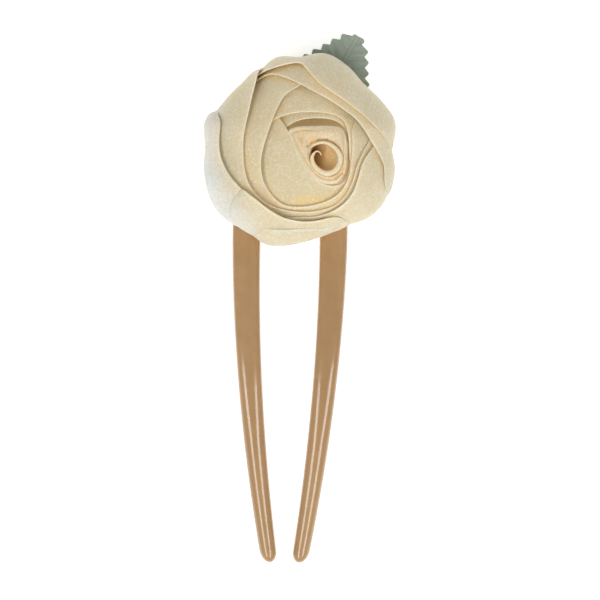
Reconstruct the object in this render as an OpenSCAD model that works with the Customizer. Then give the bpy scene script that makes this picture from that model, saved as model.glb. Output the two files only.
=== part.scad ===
// Flower hair fork: a two-prong moulded fork with a rolled organza rose and one leaf glued to its bridge.
// The fork lies on its back on the XY plane, +Y points to the rose end and +Z out of the flower.
// The origin is the centre of the felt patch on the back. All sizes are in millimetres.

/* [Fork] */
// Overall width across the two prongs at the bridge
fork_w = 28.8; // [26:0.1:32]
// Width of one prong where it leaves the bridge
prong_w = 6.95; // [6:0.05:8]
// Thickness of the moulding at the bridge
fork_t = 3.8; // [3.2:0.1:4.4]
// Distance from the origin to the prong tips
fork_reach = 104.2; // [90:0.1:115]
// Distance from the origin down to the centre of the bridge arch
arch_drop = 8; // [6:0.5:9]
// Width of a prong just before its rounded tip
tip_w = 3.95; // [3:0.05:4.5]
// Thickness of a prong just before its rounded tip
tip_t = 3.5; // [3:0.1:4]
// How far each prong leans in towards the middle at its tip
tip_lean = 7.2; // [6:0.1:7.5]
// Height of the bow in the middle of the prongs
bow_h = 4; // [2:0.5:6]

/* [Flex stand-in] */
// Distance from the origin down to the axis about which a prong flexes
flex_drop = 20; // [18:0.5:22]
// Radius of the round seat between the bridge and a prong
seat_r = 6; // [5.5:0.1:6.5]
// Clearance in the round seat
seat_gap = 0.3; // [0.2:0.05:0.4]

/* [Backing] */
// Radius of the felt patch on the back
back_r = 12; // [10:0.5:13]
// Radius of the felt disc under the rose
base_r = 14; // [12:0.5:15]
// Thickness of each felt disc
felt_t = 1; // [0.8:0.1:1.2]

/* [Rose] */
// How far the rose sits to the right of the fork's middle line
rose_x = 2.1; // [0:0.1:3]
// How far the rose is turned on the fork, counter-clockwise
rose_turn = 1; // [-3:0.5:3]
// Height of the widest part of the rose
bulge_z = 12; // [11.5:0.1:13]
// Height that the outermost layer would reach over the middle
crown_z = 25; // [24:0.1:26]
// Height of the outermost layer where it turns in under the rose
under_z = 6.6; // [6.4:0.1:7]
// Thickness of a folded petal
petal_t = 0.4; // [0.3:0.05:0.5]

/* [Leaf] */
// Length of the leaf from under the rose to its tip
leaf_len = 23; // [20:0.5:24]
// Width of the leaf against its usual width
leaf_wide = 1; // [0.85:0.05:1.05]
// Thickness of the pressed leaf
leaf_t = 0.4; // [0.3:0.05:0.5]

/* [Hidden] */

// Heights of the stack from the table up
fork_z = felt_t;
base_z = fork_z + fork_t;
rose_z = base_z + felt_t;

// Fork
prong_x = (fork_w - prong_w) / 2;
bridge_end = arch_drop + 7.2;
bow_start = 12;
section_sides = 20;
root_square = 3.4;
tip_round = 3;
arch_steps = 18;
prong_steps = 30;

// Radius of the rose outline every 15 degrees, counter-clockwise from +X
OUTLINE = [23.4, 24.65, 23.4, 22.6, 23.5, 24.1, 22.9, 23.5, 22.3, 22.1, 22.8, 24.6,
           23.8, 24.6, 26.4, 26.6, 25.6, 25.2, 24.0, 23.1, 23.8, 25.2, 25.4, 24.65];
outline_step = 15;
// Layers: a layer at depth d is a dome d millimetres inside the outermost one
dome_r = 24;
dome_power = 2.3;
layer_shift = [0.4, -0.16];
crown_drop = 0.75;
bulge_rise = 0.1;
under_rise = 0.62;
under_r = 13;
under_end = 84;
rim_steps = 22;
side_steps = 9;
// Share of the way from the rim to the ring where a petal reaches its bulge depth
side_start = 0.45;

// Petal rims, counter-clockwise: place in plan from the rose centre, depth at the rim and depth at the bulge
INNER_LEFT = [[-6.5, 9.5, 4.9, 4.9], [-4.6, 6.2, 5, 5], [-2.9, 3.6, 5.1, 5.1], [-1.6, 1, 5.2, 5],
              [-0.6, -1.4, 5.3, 4.9], [0.9, -4.2, 5.4, 4.9], [2.9, -7.2, 5.4, 4.9],
              [5.4, -9.2, 5.4, 4.9], [8.2, -9.9, 5.4, 4.9], [10.6, -9.2, 5.5, 5.1],
              [12.1, -6.8, 5.9, 5.9], [12.6, -3.5, 6.1, 6.1], [13.6, 0.5, 6.2, 6.2]];
INNER_TOP = [[13.5, -7, 7, 7], [12.5, -3.5, 7, 7], [12.3, 0, 6.8, 6.8], [11.8, 3, 6.3, 6.3],
             [10.4, 5.6, 5.7, 5.7], [7.5, 6.9, 5.4, 5.4], [3, 7, 5.4, 5.4], [-0.6, 6.4, 5.7, 5.7],
             [-3.2, 5, 6.2, 6.2], [-5, 2.8, 6.6, 6.6]];
MIDDLE_TOP = [[14, -8.5, 5, 5], [12.7, -4.5, 5, 5], [12.4, -1, 5, 5], [12.2, 2.2, 4.9, 4.9],
              [11.6, 5, 4.8, 4.8], [10.2, 7.2, 4.6, 4.6], [7, 8.4, 4, 4], [3, 8.7, 3.6, 3.6],
              [-1, 8.5, 3.6, 3.6], [-4.5, 7.8, 3.8, 3.8], [-7.2, 6.4, 4.1, 4.1], [-9.5, 4, 4.3, 4.3]];
MIDDLE_LEFT = [[5.5, 17.5, 2.05, 1.85], [2.2, 16.6, 2.05, 1.85], [0, 15.3, 2.05, 1.85],
               [-3.8, 12.8, 2.1, 1.85], [-6.3, 8.4, 2.5, 2], [-8.3, 3.4, 2.8, 2.2],
               [-9.5, -1.5, 3.2, 2.6], [-9.5, -6.5, 3.6, 3.1], [-8.3, -10.6, 4, 3.6],
               [-5.5, -13.9, 4.2, 3.9], [-2, -15.1, 4.3, 4], [2.5, -14.9, 4.3, 4.1],
               [6.8, -13.6, 4.3, 4.1], [10, -11.4, 4.3, 4.1], [12.1, -8, 4.2, 4.1],
               [12.9, -3.8, 4.1, 4.1], [13.2, 0.5, 4, 4], [13.1, 4, 4, 4], [14, 7.5, 4, 4]];
LONG_LEFT = [[-9.9, 20.8, 0.1, -0.4], [-10.4, 18.4, 0.15, -0.35], [-10.9, 15.6, 0.4, 0],
             [-12.3, 11.2, 0.7, 0.25], [-13.5, 6.6, 1.1, 0.4], [-14.3, 1.6, 1.5, 0.5],
             [-14.3, -3.4, 2, 0.65], [-13.3, -7.8, 2.4, 0.95], [-11, -11.7, 2.8, 1.7],
             [-7.8, -14.6, 3.1, 2.4], [-4, -16, 3.4, 2.7], [0.5, -16.4, 3.5, 2.8], [5, -16, 3.5, 2.9],
             [8.6, -14.8, 3.5, 3], [11.2, -12.4, 3.4, 3], [13, -9, 3.2, 3], [14.3, -5, 3, 3],
             [15.8, -1.5, 3, 3], [18, 2.5, 3, 3]];
RIGHT = [[-4, -18.2, 2.3, 1.9], [0, -17.9, 2.6, 1.9], [4, -17.7, 2.6, 1.8], [8, -16.2, 2.4, 1.5],
         [11.2, -14, 1.9, 1], [13.4, -11.2, 1.2, 0.6], [14.7, -7.8, 1.3, 0.55], [15.7, -4.4, 1.6, 0.9],
         [17.3, -1.6, 1.75, 1.2], [19.5, 1.5, 1.8, 1.35], [21.5, 6, 1.9, 1.5]];
LONG_RIGHT = [[22.4, -13.2, 0, 0], [21.4, -9, 0.1, 0], [21.2, -5, 0.3, 0.15], [19.8, -1.8, 0.7, 0.65],
              [17.9, 1.2, 0.9, 0.7], [16.2, 4.1, 0.9, 0.65], [14, 6.9, 0.9, 0.6], [11, 9.2, 0.9, 0.6],
              [7, 11.9, 1, 0.65], [3.2, 14.1, 1.1, 0.7], [0, 15.8, 1.2, 0.8], [-3.5, 17.2, 1.3, 0.95],
              [-6.8, 18, 1.38, 1.18], [-9.6, 17.4, 1.4, 1.22], [-13, 15.5, 1.4, 1.25]];
TOP = [[23.6, -1, 0.1, 0], [22, 1.5, 0.1, 0], [19.2, 4.8, 0.1, 0], [15.6, 8.2, 0.1, 0],
       [11.6, 11.2, 0.1, 0], [8, 13.6, 0.15, 0], [4.8, 16.1, 0.2, 0], [2.2, 18.9, 0.3, 0],
       [0, 20.8, 0.35, -0.05], [-4, 20.3, 0.45, -0.2], [-7.5, 19.4, 0.6, -0.2], [-10, 18.3, 0.8, 0.2],
       [-12.5, 17.2, 0.88, 0.55]];
OUTER_LEFT = [[-21.8, 9.5, -0.1, -0.2], [-20.7, 6.5, -0.1, -0.2], [-20.8, 2, -0.05, -0.2],
              [-20.5, -3, 0.05, -0.15], [-18.9, -6.8, 0.2, 0], [-16.2, -9.8, 0.6, 0.1],
              [-13.8, -12, 0.9, 0.25], [-12, -15, 1.1, 0.5], [-10.5, -18.5, 1.2, 0.85],
              [-9, -22.5, 1.3, 1]];
LOWER = [[-16.4, -11.6, 0, 0.3], [-14.6, -11.1, 0, 0.3], [-11.3, -13.1, 0.1, 0.32],
         [-8, -15.9, 0.25, 0.35], [-4.5, -17.9, 0.6, 0.38], [0, -18.7, 0.9, 0.42], [4, -18.6, 1, 0.42],
         [8, -18, 1, 0.45], [10.8, -18.6, 0.9, 0.45], [12.6, -20.6, 0.5, 0.4]];
BOTTOM = [[-13, -20.6, -0.5, -0.5], [-10, -21.2, -0.42, -0.42], [-5, -21.4, -0.3, -0.3],
          [0, -21.3, -0.22, -0.22], [4, -21.3, -0.15, -0.15], [7.5, -21, -0.1, -0.1],
          [9.5, -20.8, -0.05, -0.05]];

// Bud: outline of the folded wrap, and the oval of the roll in it
WRAP = [[-2.2, 3.6], [-0.8, 4.8], [3, 5.2], [7.5, 5.2], [10.3, 4], [11.3, 1], [11.3, -3], [10.7, -6.2],
        [8.9, -8.4], [6, -8.6], [3.6, -7], [1.7, -4], [0.1, -0.8], [-1.2, 1.6]];
roll_c = [6.4, -2.8];
roll_long = 4.4;
roll_short = 3.4;
roll_turn = -58;
roll_wall = 0.8;
roll_sides = 28;
roll_top = 22.2;
roll_floor = 15;
wrap_top = 21.4;
wrap_edge_z = 20;
core_c = [3, -0.8];
core_r = 4.6;
core_top = 10.2;

// Leaf: tip in plan from the rose centre, heading of its midrib, half widths from the tip back
leaf_tip = [14.6, 27.9];
leaf_heading = 60;
leaf_rise = 2;
LEAF_HALF = [0.9, 3.5, 5.4, 7.3, 9.6, 10.2, 9.4, 7.2, 4];
leaf_steps = 30;
leaf_cols = 6;
tooth_count = 10;
tooth_lead = 0.4;

// A smooth curve through points: u from 0 to 1
function spline(a, b, c, e, t) =
    0.5 * (2 * b + (c - a) * t + (2 * a - 5 * b + 4 * c - e) * t * t + (3 * b - a - 3 * c + e) * t * t * t);
function along(pts, u) =
    let (n = len(pts) - 1, s = min(floor(u * n), n - 1))
    spline(pts[max(s - 1, 0)], pts[s], pts[s + 1], pts[min(s + 2, n)], u * n - s);
function mix(a, b, t) = a + (b - a) * t;
function smooth(t) = let (k = max(0, min(1, t))) k * k * (3 - 2 * k);
function power(x, p) = sign(x) * pow(abs(x), p);

// Radius of the rose outline at an angle
function outline(angle) =
    let (n = len(OUTLINE), k = (angle % 360 + 360) % 360 / outline_step, s = floor(k))
    spline(OUTLINE[(s + n - 1) % n], OUTLINE[s % n], OUTLINE[(s + 1) % n], OUTLINE[(s + 2) % n], k - s);
function layer_centre(d) = d * layer_shift;
function layer_r(angle, d) = outline(angle) * (dome_r - d) / dome_r;

// A point on the layer at depth d: height angle 90 is the crown, 0 the bulge, below 0 the underside
function layer_point(angle, height, d) =
    let (r = layer_r(angle, d), zb = bulge_z + bulge_rise * d, k = 2 / dome_power,
         rise = crown_z - crown_drop * d - zb, fall = zb - under_z - under_rise * d,
         ring = under_r - d, reach = pow(cos(height), k),
         rho = height < 0 ? mix(ring, r, reach) : r * reach,
         z = height < 0 ? zb - fall * pow(-sin(height), k) : zb + rise * pow(sin(height), k),
         c = layer_centre(d))
    [c[0] + rho * cos(angle), c[1] + rho * sin(angle), z];

// Angle about the layer's own centre and height angle of a rim point
function rim_angle(p) = let (c = layer_centre(p[2])) atan2(p[1] - c[1], p[0] - c[0]);
function rim_height(p) =
    let (c = layer_centre(p[2]), q = norm([p[0] - c[0], p[1] - c[1]]) / layer_r(rim_angle(p), p[2]))
    acos(pow(min(q, 1), dome_power / 2));
// The same angle counted up from the angle where the petal starts
function unwrapped(angle, start) = start + ((angle - start) % 360 + 360) % 360;

// Closed skin over two grids of rows: the outer face, the inner face and the four edges
function halves(q) = [[q[0], q[1], q[2]], [q[0], q[2], q[3]]];
function grid_faces(rows, cols, first, flip) =
    [for (i = [0 : rows - 2], j = [0 : cols - 2])
        let (a = first + i * cols + j, b = a + cols)
        each halves(flip ? [b + 1, a + 1, a, b] : [a, a + 1, b + 1, b])];
function edge_faces(ring, shift) =
    [for (i = [0 : len(ring) - 1])
        let (a = ring[i], b = ring[(i + 1) % len(ring)])
        each halves([b, a, a + shift, b + shift])];
function border(rows, cols) =
    concat([for (j = [0 : cols - 2]) j],
           [for (i = [0 : rows - 2]) i * cols + cols - 1],
           [for (j = [cols - 1 : -1 : 1]) (rows - 1) * cols + j],
           [for (i = [rows - 1 : -1 : 1]) i * cols]);
module skin(outer, inner, cols) {
    rows = len(outer) / cols;
    shift = len(outer);
    faces = concat(grid_faces(rows, cols, 0, false), grid_faces(rows, cols, shift, true),
                   edge_faces(border(rows, cols), shift));
    polyhedron(points = concat(outer, inner), faces = faces, convexity = 6);
}

// Place of the rose on the fork
module on_rose() {
    translate([rose_x, 0, 0]) rotate(rose_turn) children();
}

// A petal: one layer from its rim over the bulge to the ring under the rose
module petal(rim, base_start, base_end) {
    start = rim_angle(rim[0]) - 20;
    cols = side_steps + 1;
    grid = [for (i = [0 : rim_steps])
        let (u = i / rim_steps, p = along(rim, u), a = unwrapped(rim_angle(p), start), h = rim_height(p),
             b = mix(unwrapped(base_start, start), unwrapped(base_end, start), u))
        for (j = [0 : side_steps])
            let (v = j / side_steps)
            [mix(a, b, v), mix(h, -under_end, v), mix(p[2], p[3], smooth(v / side_start))]];
    color("ivory") on_rose()
        skin([for (g = grid) layer_point(g[0], g[1], g[2])],
             [for (g = grid) layer_point(g[0], g[1], g[2] + petal_t)], cols);
}

// Cross-section of the fork: a flat oval, squarer where power is high
function section(w, t, squareness) =
    [for (i = [0 : section_sides - 1])
        let (a = 360 * i / section_sides)
        [w / 2 * power(cos(a), 2 / squareness), t / 2 * power(sin(a), 2 / squareness)]];

// Solid through rings of equal length
module loft(rings) {
    n = len(rings[0]);
    m = len(rings);
    sides = [for (i = [0 : m - 2], j = [0 : n - 1])
        let (k = (j + 1) % n)
        [i * n + j, i * n + k, (i + 1) * n + k, (i + 1) * n + j]];
    ends = [[for (j = [n - 1 : -1 : 0]) j], [for (j = [0 : n - 1]) (m - 1) * n + j]];
    polyhedron(points = [for (ring = rings) each ring], faces = concat(sides, ends), convexity = 4);
}

// Position, width and thickness of a prong by distance down from the origin
function prong_part(drop) = max(0, (drop - 22) / (fork_reach - 22));
function bow_part(drop) = max(0, (drop - bow_start) / (fork_reach - bow_start));
function prong_mid_x(drop) = prong_x - tip_lean * pow(prong_part(drop), 1.9);
function prong_mid_z(drop) =
    mix(fork_z + fork_t / 2, tip_t / 2, bow_part(drop)) + bow_h * pow(sin(180 * bow_part(drop)), 2);
function tip_scale(drop) =
    let (k = max(0, (drop - fork_reach + tip_round) / tip_round))
    sqrt(max(0.003, 1 - k * k));
function prong_ring(drop) =
    let (k = prong_part(drop), s = tip_scale(drop), w = mix(prong_w, tip_w, pow(k, 1.25)) * s,
         t = mix(fork_t, tip_t, k) * s, x = prong_mid_x(drop), z = prong_mid_z(drop))
    [for (p = section(w, t, mix(root_square, 2, min(1, 1.6 * k)))) [x + p[0], -drop, z + p[1]]];
function prong_drops() =
    let (first = flex_drop - seat_r - 0.5, last = fork_reach - tip_round)
    concat([for (i = [0 : prong_steps]) mix(first, last, i / prong_steps)],
           [for (a = [18 : 18 : 90]) last + tip_round * sin(a)]);

// One prong with the round seat at its root
module prong() {
    intersection() {
        loft([for (drop = prong_drops()) prong_ring(drop)]);
        union() {
            translate([prong_x, -flex_drop, -1])
                cylinder(r = seat_r, h = 3 * fork_t, $fn = 96);
            translate([0, -fork_reach - 1, -1])
                cube([fork_w, fork_reach + 1 - flex_drop, 3 * fork_t]);
        }
    }
}
module right_prong() { color("peru") prong(); }
module left_prong() { color("peru") mirror([1, 0, 0]) prong(); }

// Arch between the prongs, hollowed at each end by the round seats
function bridge_ring(p, a) =
    [for (q = section(prong_w, fork_t, root_square))
        [p[0] + q[0] * cos(a), p[1] + q[0] * sin(a), fork_z + fork_t / 2 + q[1]]];
module fork_bridge() {
    ends = [for (s = [-1, 1]) [s * prong_x, -bridge_end]];
    path = concat([[ends[1], 0]],
                  [for (i = [0 : arch_steps])
                      let (a = 180 * i / arch_steps)
                      [[prong_x * cos(a), prong_x * sin(a) - arch_drop], a]],
                  [[ends[0], 180]]);
    color("peru") difference() {
        loft([for (k = [len(path) - 1 : -1 : 0]) bridge_ring(path[k][0], path[k][1])]);
        for (s = [-1, 1])
            translate([s * prong_x, -flex_drop, 0])
                cylinder(r = seat_r + seat_gap, h = 3 * fork_t, $fn = 96);
    }
}

// Backing
module felt_back() { color("tan") cylinder(r = back_r, h = felt_t, $fn = 96); }
module felt_base() { color("ivory") translate([0, 0, base_z]) cylinder(r = base_r, h = felt_t, $fn = 96); }
module glue_core() {
    color("gainsboro") translate([0, -6, fork_z]) cylinder(r = 5.5, h = fork_t, $fn = 64);
}

// Gathered ends of the petals, tied with thread
module gathered_core() {
    color("ivory") on_rose() translate([core_c[0], core_c[1], rose_z])
        cylinder(r = core_r, h = core_top - rose_z, $fn = 64);
}
module binding_thread() {
    thread_r = 0.3;
    color("white") on_rose() translate([core_c[0], core_c[1], 0])
        for (turn = [0 : 2])
            translate([0, 0, rose_z + 0.8 + 2.1 * turn * thread_r])
                rotate_extrude($fn = 64)
                    translate([core_r + thread_r, 0]) circle(r = thread_r, $fn = 16);
}

// Bud
function oval(grow) =
    [for (i = [0 : roll_sides - 1])
        let (a = 360 * i / roll_sides, x = (roll_long + grow) * cos(a), y = (roll_short + grow) * sin(a),
             c = cos(roll_turn), s = sin(roll_turn))
        [roll_c[0] + x * c - y * s, roll_c[1] + x * s + y * c]];
module bud_roll() {
    color("ivory") on_rose() translate([0, 0, roll_floor + 0.1]) difference() {
        linear_extrude(roll_top - roll_floor - 0.1) polygon(oval(0));
        translate([0, 0, 1.5]) linear_extrude(roll_top) polygon(oval(-roll_wall));
    }
}
function closed_along(pts, u) =
    let (n = len(pts), k = u * n, s = floor(k))
    spline(pts[(s + n - 1) % n], pts[s % n], pts[(s + 1) % n], pts[(s + 2) % n], k - s);
function at_height(ring, z) = [for (p = ring) [p[0], p[1], z]];
function shrunk(ring, centre, k) = [for (p = ring) centre + (p - centre) * k];
module bud_wrap() {
    edge = [for (i = [roll_sides - 1 : -1 : 0]) closed_along(WRAP, i / roll_sides)];
    foot = [for (p = edge) core_c + (core_r - 0.3) * (p - roll_c) / norm(p - roll_c)];
    color("ivory") on_rose() difference() {
        loft([at_height(foot, core_top), at_height(edge, wrap_edge_z - 1),
              at_height(shrunk(edge, roll_c, 0.97), wrap_edge_z),
              at_height(shrunk(edge, roll_c, 0.8), wrap_top)]);
        translate([0, 0, roll_floor]) linear_extrude(roll_top) polygon(oval(0.15));
    }
}

// Petals from the bud outwards, with the angles at which each starts and ends under the rose
module inner_left_petal() { petal(INNER_LEFT, 140, 350); }
module inner_top_petal() { petal(INNER_TOP, 340, 145); }
module middle_top_petal() { petal(MIDDLE_TOP, 335, 150); }
module middle_left_petal() { petal(MIDDLE_LEFT, 80, 25); }
module long_left_petal() { petal(LONG_LEFT, 118, 2); }
module right_petal() { petal(RIGHT, 258, 10); }
module long_right_petal() { petal(LONG_RIGHT, 332, 124); }
module top_petal() { petal(TOP, 0, 120); }
module outer_left_petal() { petal(OUTER_LEFT, 160, 245); }
module lower_petal() { petal(LOWER, 262, 302); }
module bottom_petal() { petal(BOTTOM, 240, 292); }

// Leaf: a broad blade with a stepped, toothed edge, curled up a little at the tip
function leaf_width(s) = leaf_wide * along([for (w = LEAF_HALF) [w]], s)[0];
function toothed_width(s) =
    let (t = s * tooth_count + tooth_lead, k = floor(t))
    mix(leaf_width(max(0, k - tooth_lead) / tooth_count),
        leaf_width((k + 1 - tooth_lead) / tooth_count), smooth((t - k) / 0.4));
function leaf_point(s, v, lift) =
    let (w = toothed_width(min(s, 0.9)) * v, back = s * leaf_len,
         ax = cos(leaf_heading), ay = sin(leaf_heading))
    [leaf_tip[0] - back * ax - w * ay, leaf_tip[1] - back * ay + w * ax,
     rose_z + 0.05 + leaf_rise * pow(1 - s, 2) + lift];
module leaf() {
    grid = [for (i = [0 : leaf_steps], j = [0 : leaf_cols]) [i / leaf_steps, 2 * j / leaf_cols - 1]];
    color("darkolivegreen") on_rose()
        skin([for (g = grid) leaf_point(g[0], g[1], 0)],
             [for (g = grid) leaf_point(g[0], g[1], leaf_t)], leaf_cols + 1);
}

fork_bridge();
left_prong();
right_prong();
felt_back();
felt_base();
glue_core();
gathered_core();
binding_thread();
bud_roll();
bud_wrap();
inner_left_petal();
inner_top_petal();
middle_top_petal();
middle_left_petal();
long_left_petal();
right_petal();
long_right_petal();
top_petal();
outer_left_petal();
lower_petal();
bottom_petal();
leaf();
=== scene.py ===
"""Hair fork with a rolled organza rose and one leaf, finished around its frame.

Laid out as an add-on: the sizes and colours a user may change are properties, and every piece or group
of like pieces has an operator. Lengths inside the functions are millimetres, and MM makes them metres.
"""

import math

import bpy
import numpy as np
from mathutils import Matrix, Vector


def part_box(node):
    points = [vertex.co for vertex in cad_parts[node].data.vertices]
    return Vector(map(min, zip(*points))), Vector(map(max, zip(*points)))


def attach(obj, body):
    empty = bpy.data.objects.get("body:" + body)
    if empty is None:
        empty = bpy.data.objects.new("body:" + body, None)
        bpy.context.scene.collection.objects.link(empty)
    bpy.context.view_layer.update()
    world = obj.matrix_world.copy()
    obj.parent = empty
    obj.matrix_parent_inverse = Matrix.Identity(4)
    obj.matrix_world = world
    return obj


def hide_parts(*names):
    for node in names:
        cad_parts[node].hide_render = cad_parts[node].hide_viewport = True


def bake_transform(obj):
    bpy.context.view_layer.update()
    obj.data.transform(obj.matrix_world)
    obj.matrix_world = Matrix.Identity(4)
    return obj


bl_info = {
    "name": "Rose Hair Fork",
    "version": (1, 0, 0),
    "blender": (4, 5, 0),
    "location": "3D View > Sidebar > Hair Fork",
    "description": "Moulded two-prong hair fork with a rolled organza rose and a leaf",
    "category": "Add Mesh",
}

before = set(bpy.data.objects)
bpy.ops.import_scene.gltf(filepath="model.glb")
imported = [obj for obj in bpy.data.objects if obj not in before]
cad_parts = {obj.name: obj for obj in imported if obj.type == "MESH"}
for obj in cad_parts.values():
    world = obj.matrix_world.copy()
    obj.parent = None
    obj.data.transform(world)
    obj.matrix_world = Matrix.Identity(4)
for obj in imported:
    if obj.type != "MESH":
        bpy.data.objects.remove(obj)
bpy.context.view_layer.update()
MM = 0.001
ROOT = "flower_and_bridge"


def node_box(node):
    """Lowest and highest corner of a frame node in millimetres."""
    low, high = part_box(node)
    return np.array(low) / MM, np.array(high) / MM


BACK_LOW, BACK_HIGH = node_box("felt_back")
BASE_LOW, BASE_HIGH = node_box("felt_base")
CORE_LOW, CORE_HIGH = node_box("gathered_core")
PRONG_LOW, PRONG_HIGH = node_box("right_prong")
ROSE_Z = BASE_HIGH[2]
ROSE_TURN = math.radians(1.0)
ROSE_X = (CORE_LOW[0] + CORE_HIGH[0]) / 2 - 3.0 * math.cos(ROSE_TURN) - 0.8 * math.sin(ROSE_TURN)

# ---------------------------------------------------------------- shapes of the rose

# Radius of the rose outline every 15 degrees, counter-clockwise from +X
OUTLINE = np.array([23.4, 24.65, 23.4, 22.6, 23.5, 24.1, 22.9, 23.5, 22.3, 22.1, 22.8, 24.6,
                    23.8, 24.6, 26.4, 26.6, 25.6, 25.2, 24.0, 23.1, 23.8, 25.2, 25.4, 24.65])
DOME_R, DOME_POWER = 24.0, 2.3
LAYER_SHIFT = np.array([0.4, -0.16])
CROWN_Z, CROWN_DROP = 25.0, 0.75
BULGE_Z, BULGE_RISE = 12.0, 0.1
UNDER_Z, UNDER_RISE, UNDER_R, UNDER_END = 6.6, 0.62, 13.0, -84.0
SIDE_START = 0.45

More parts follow.
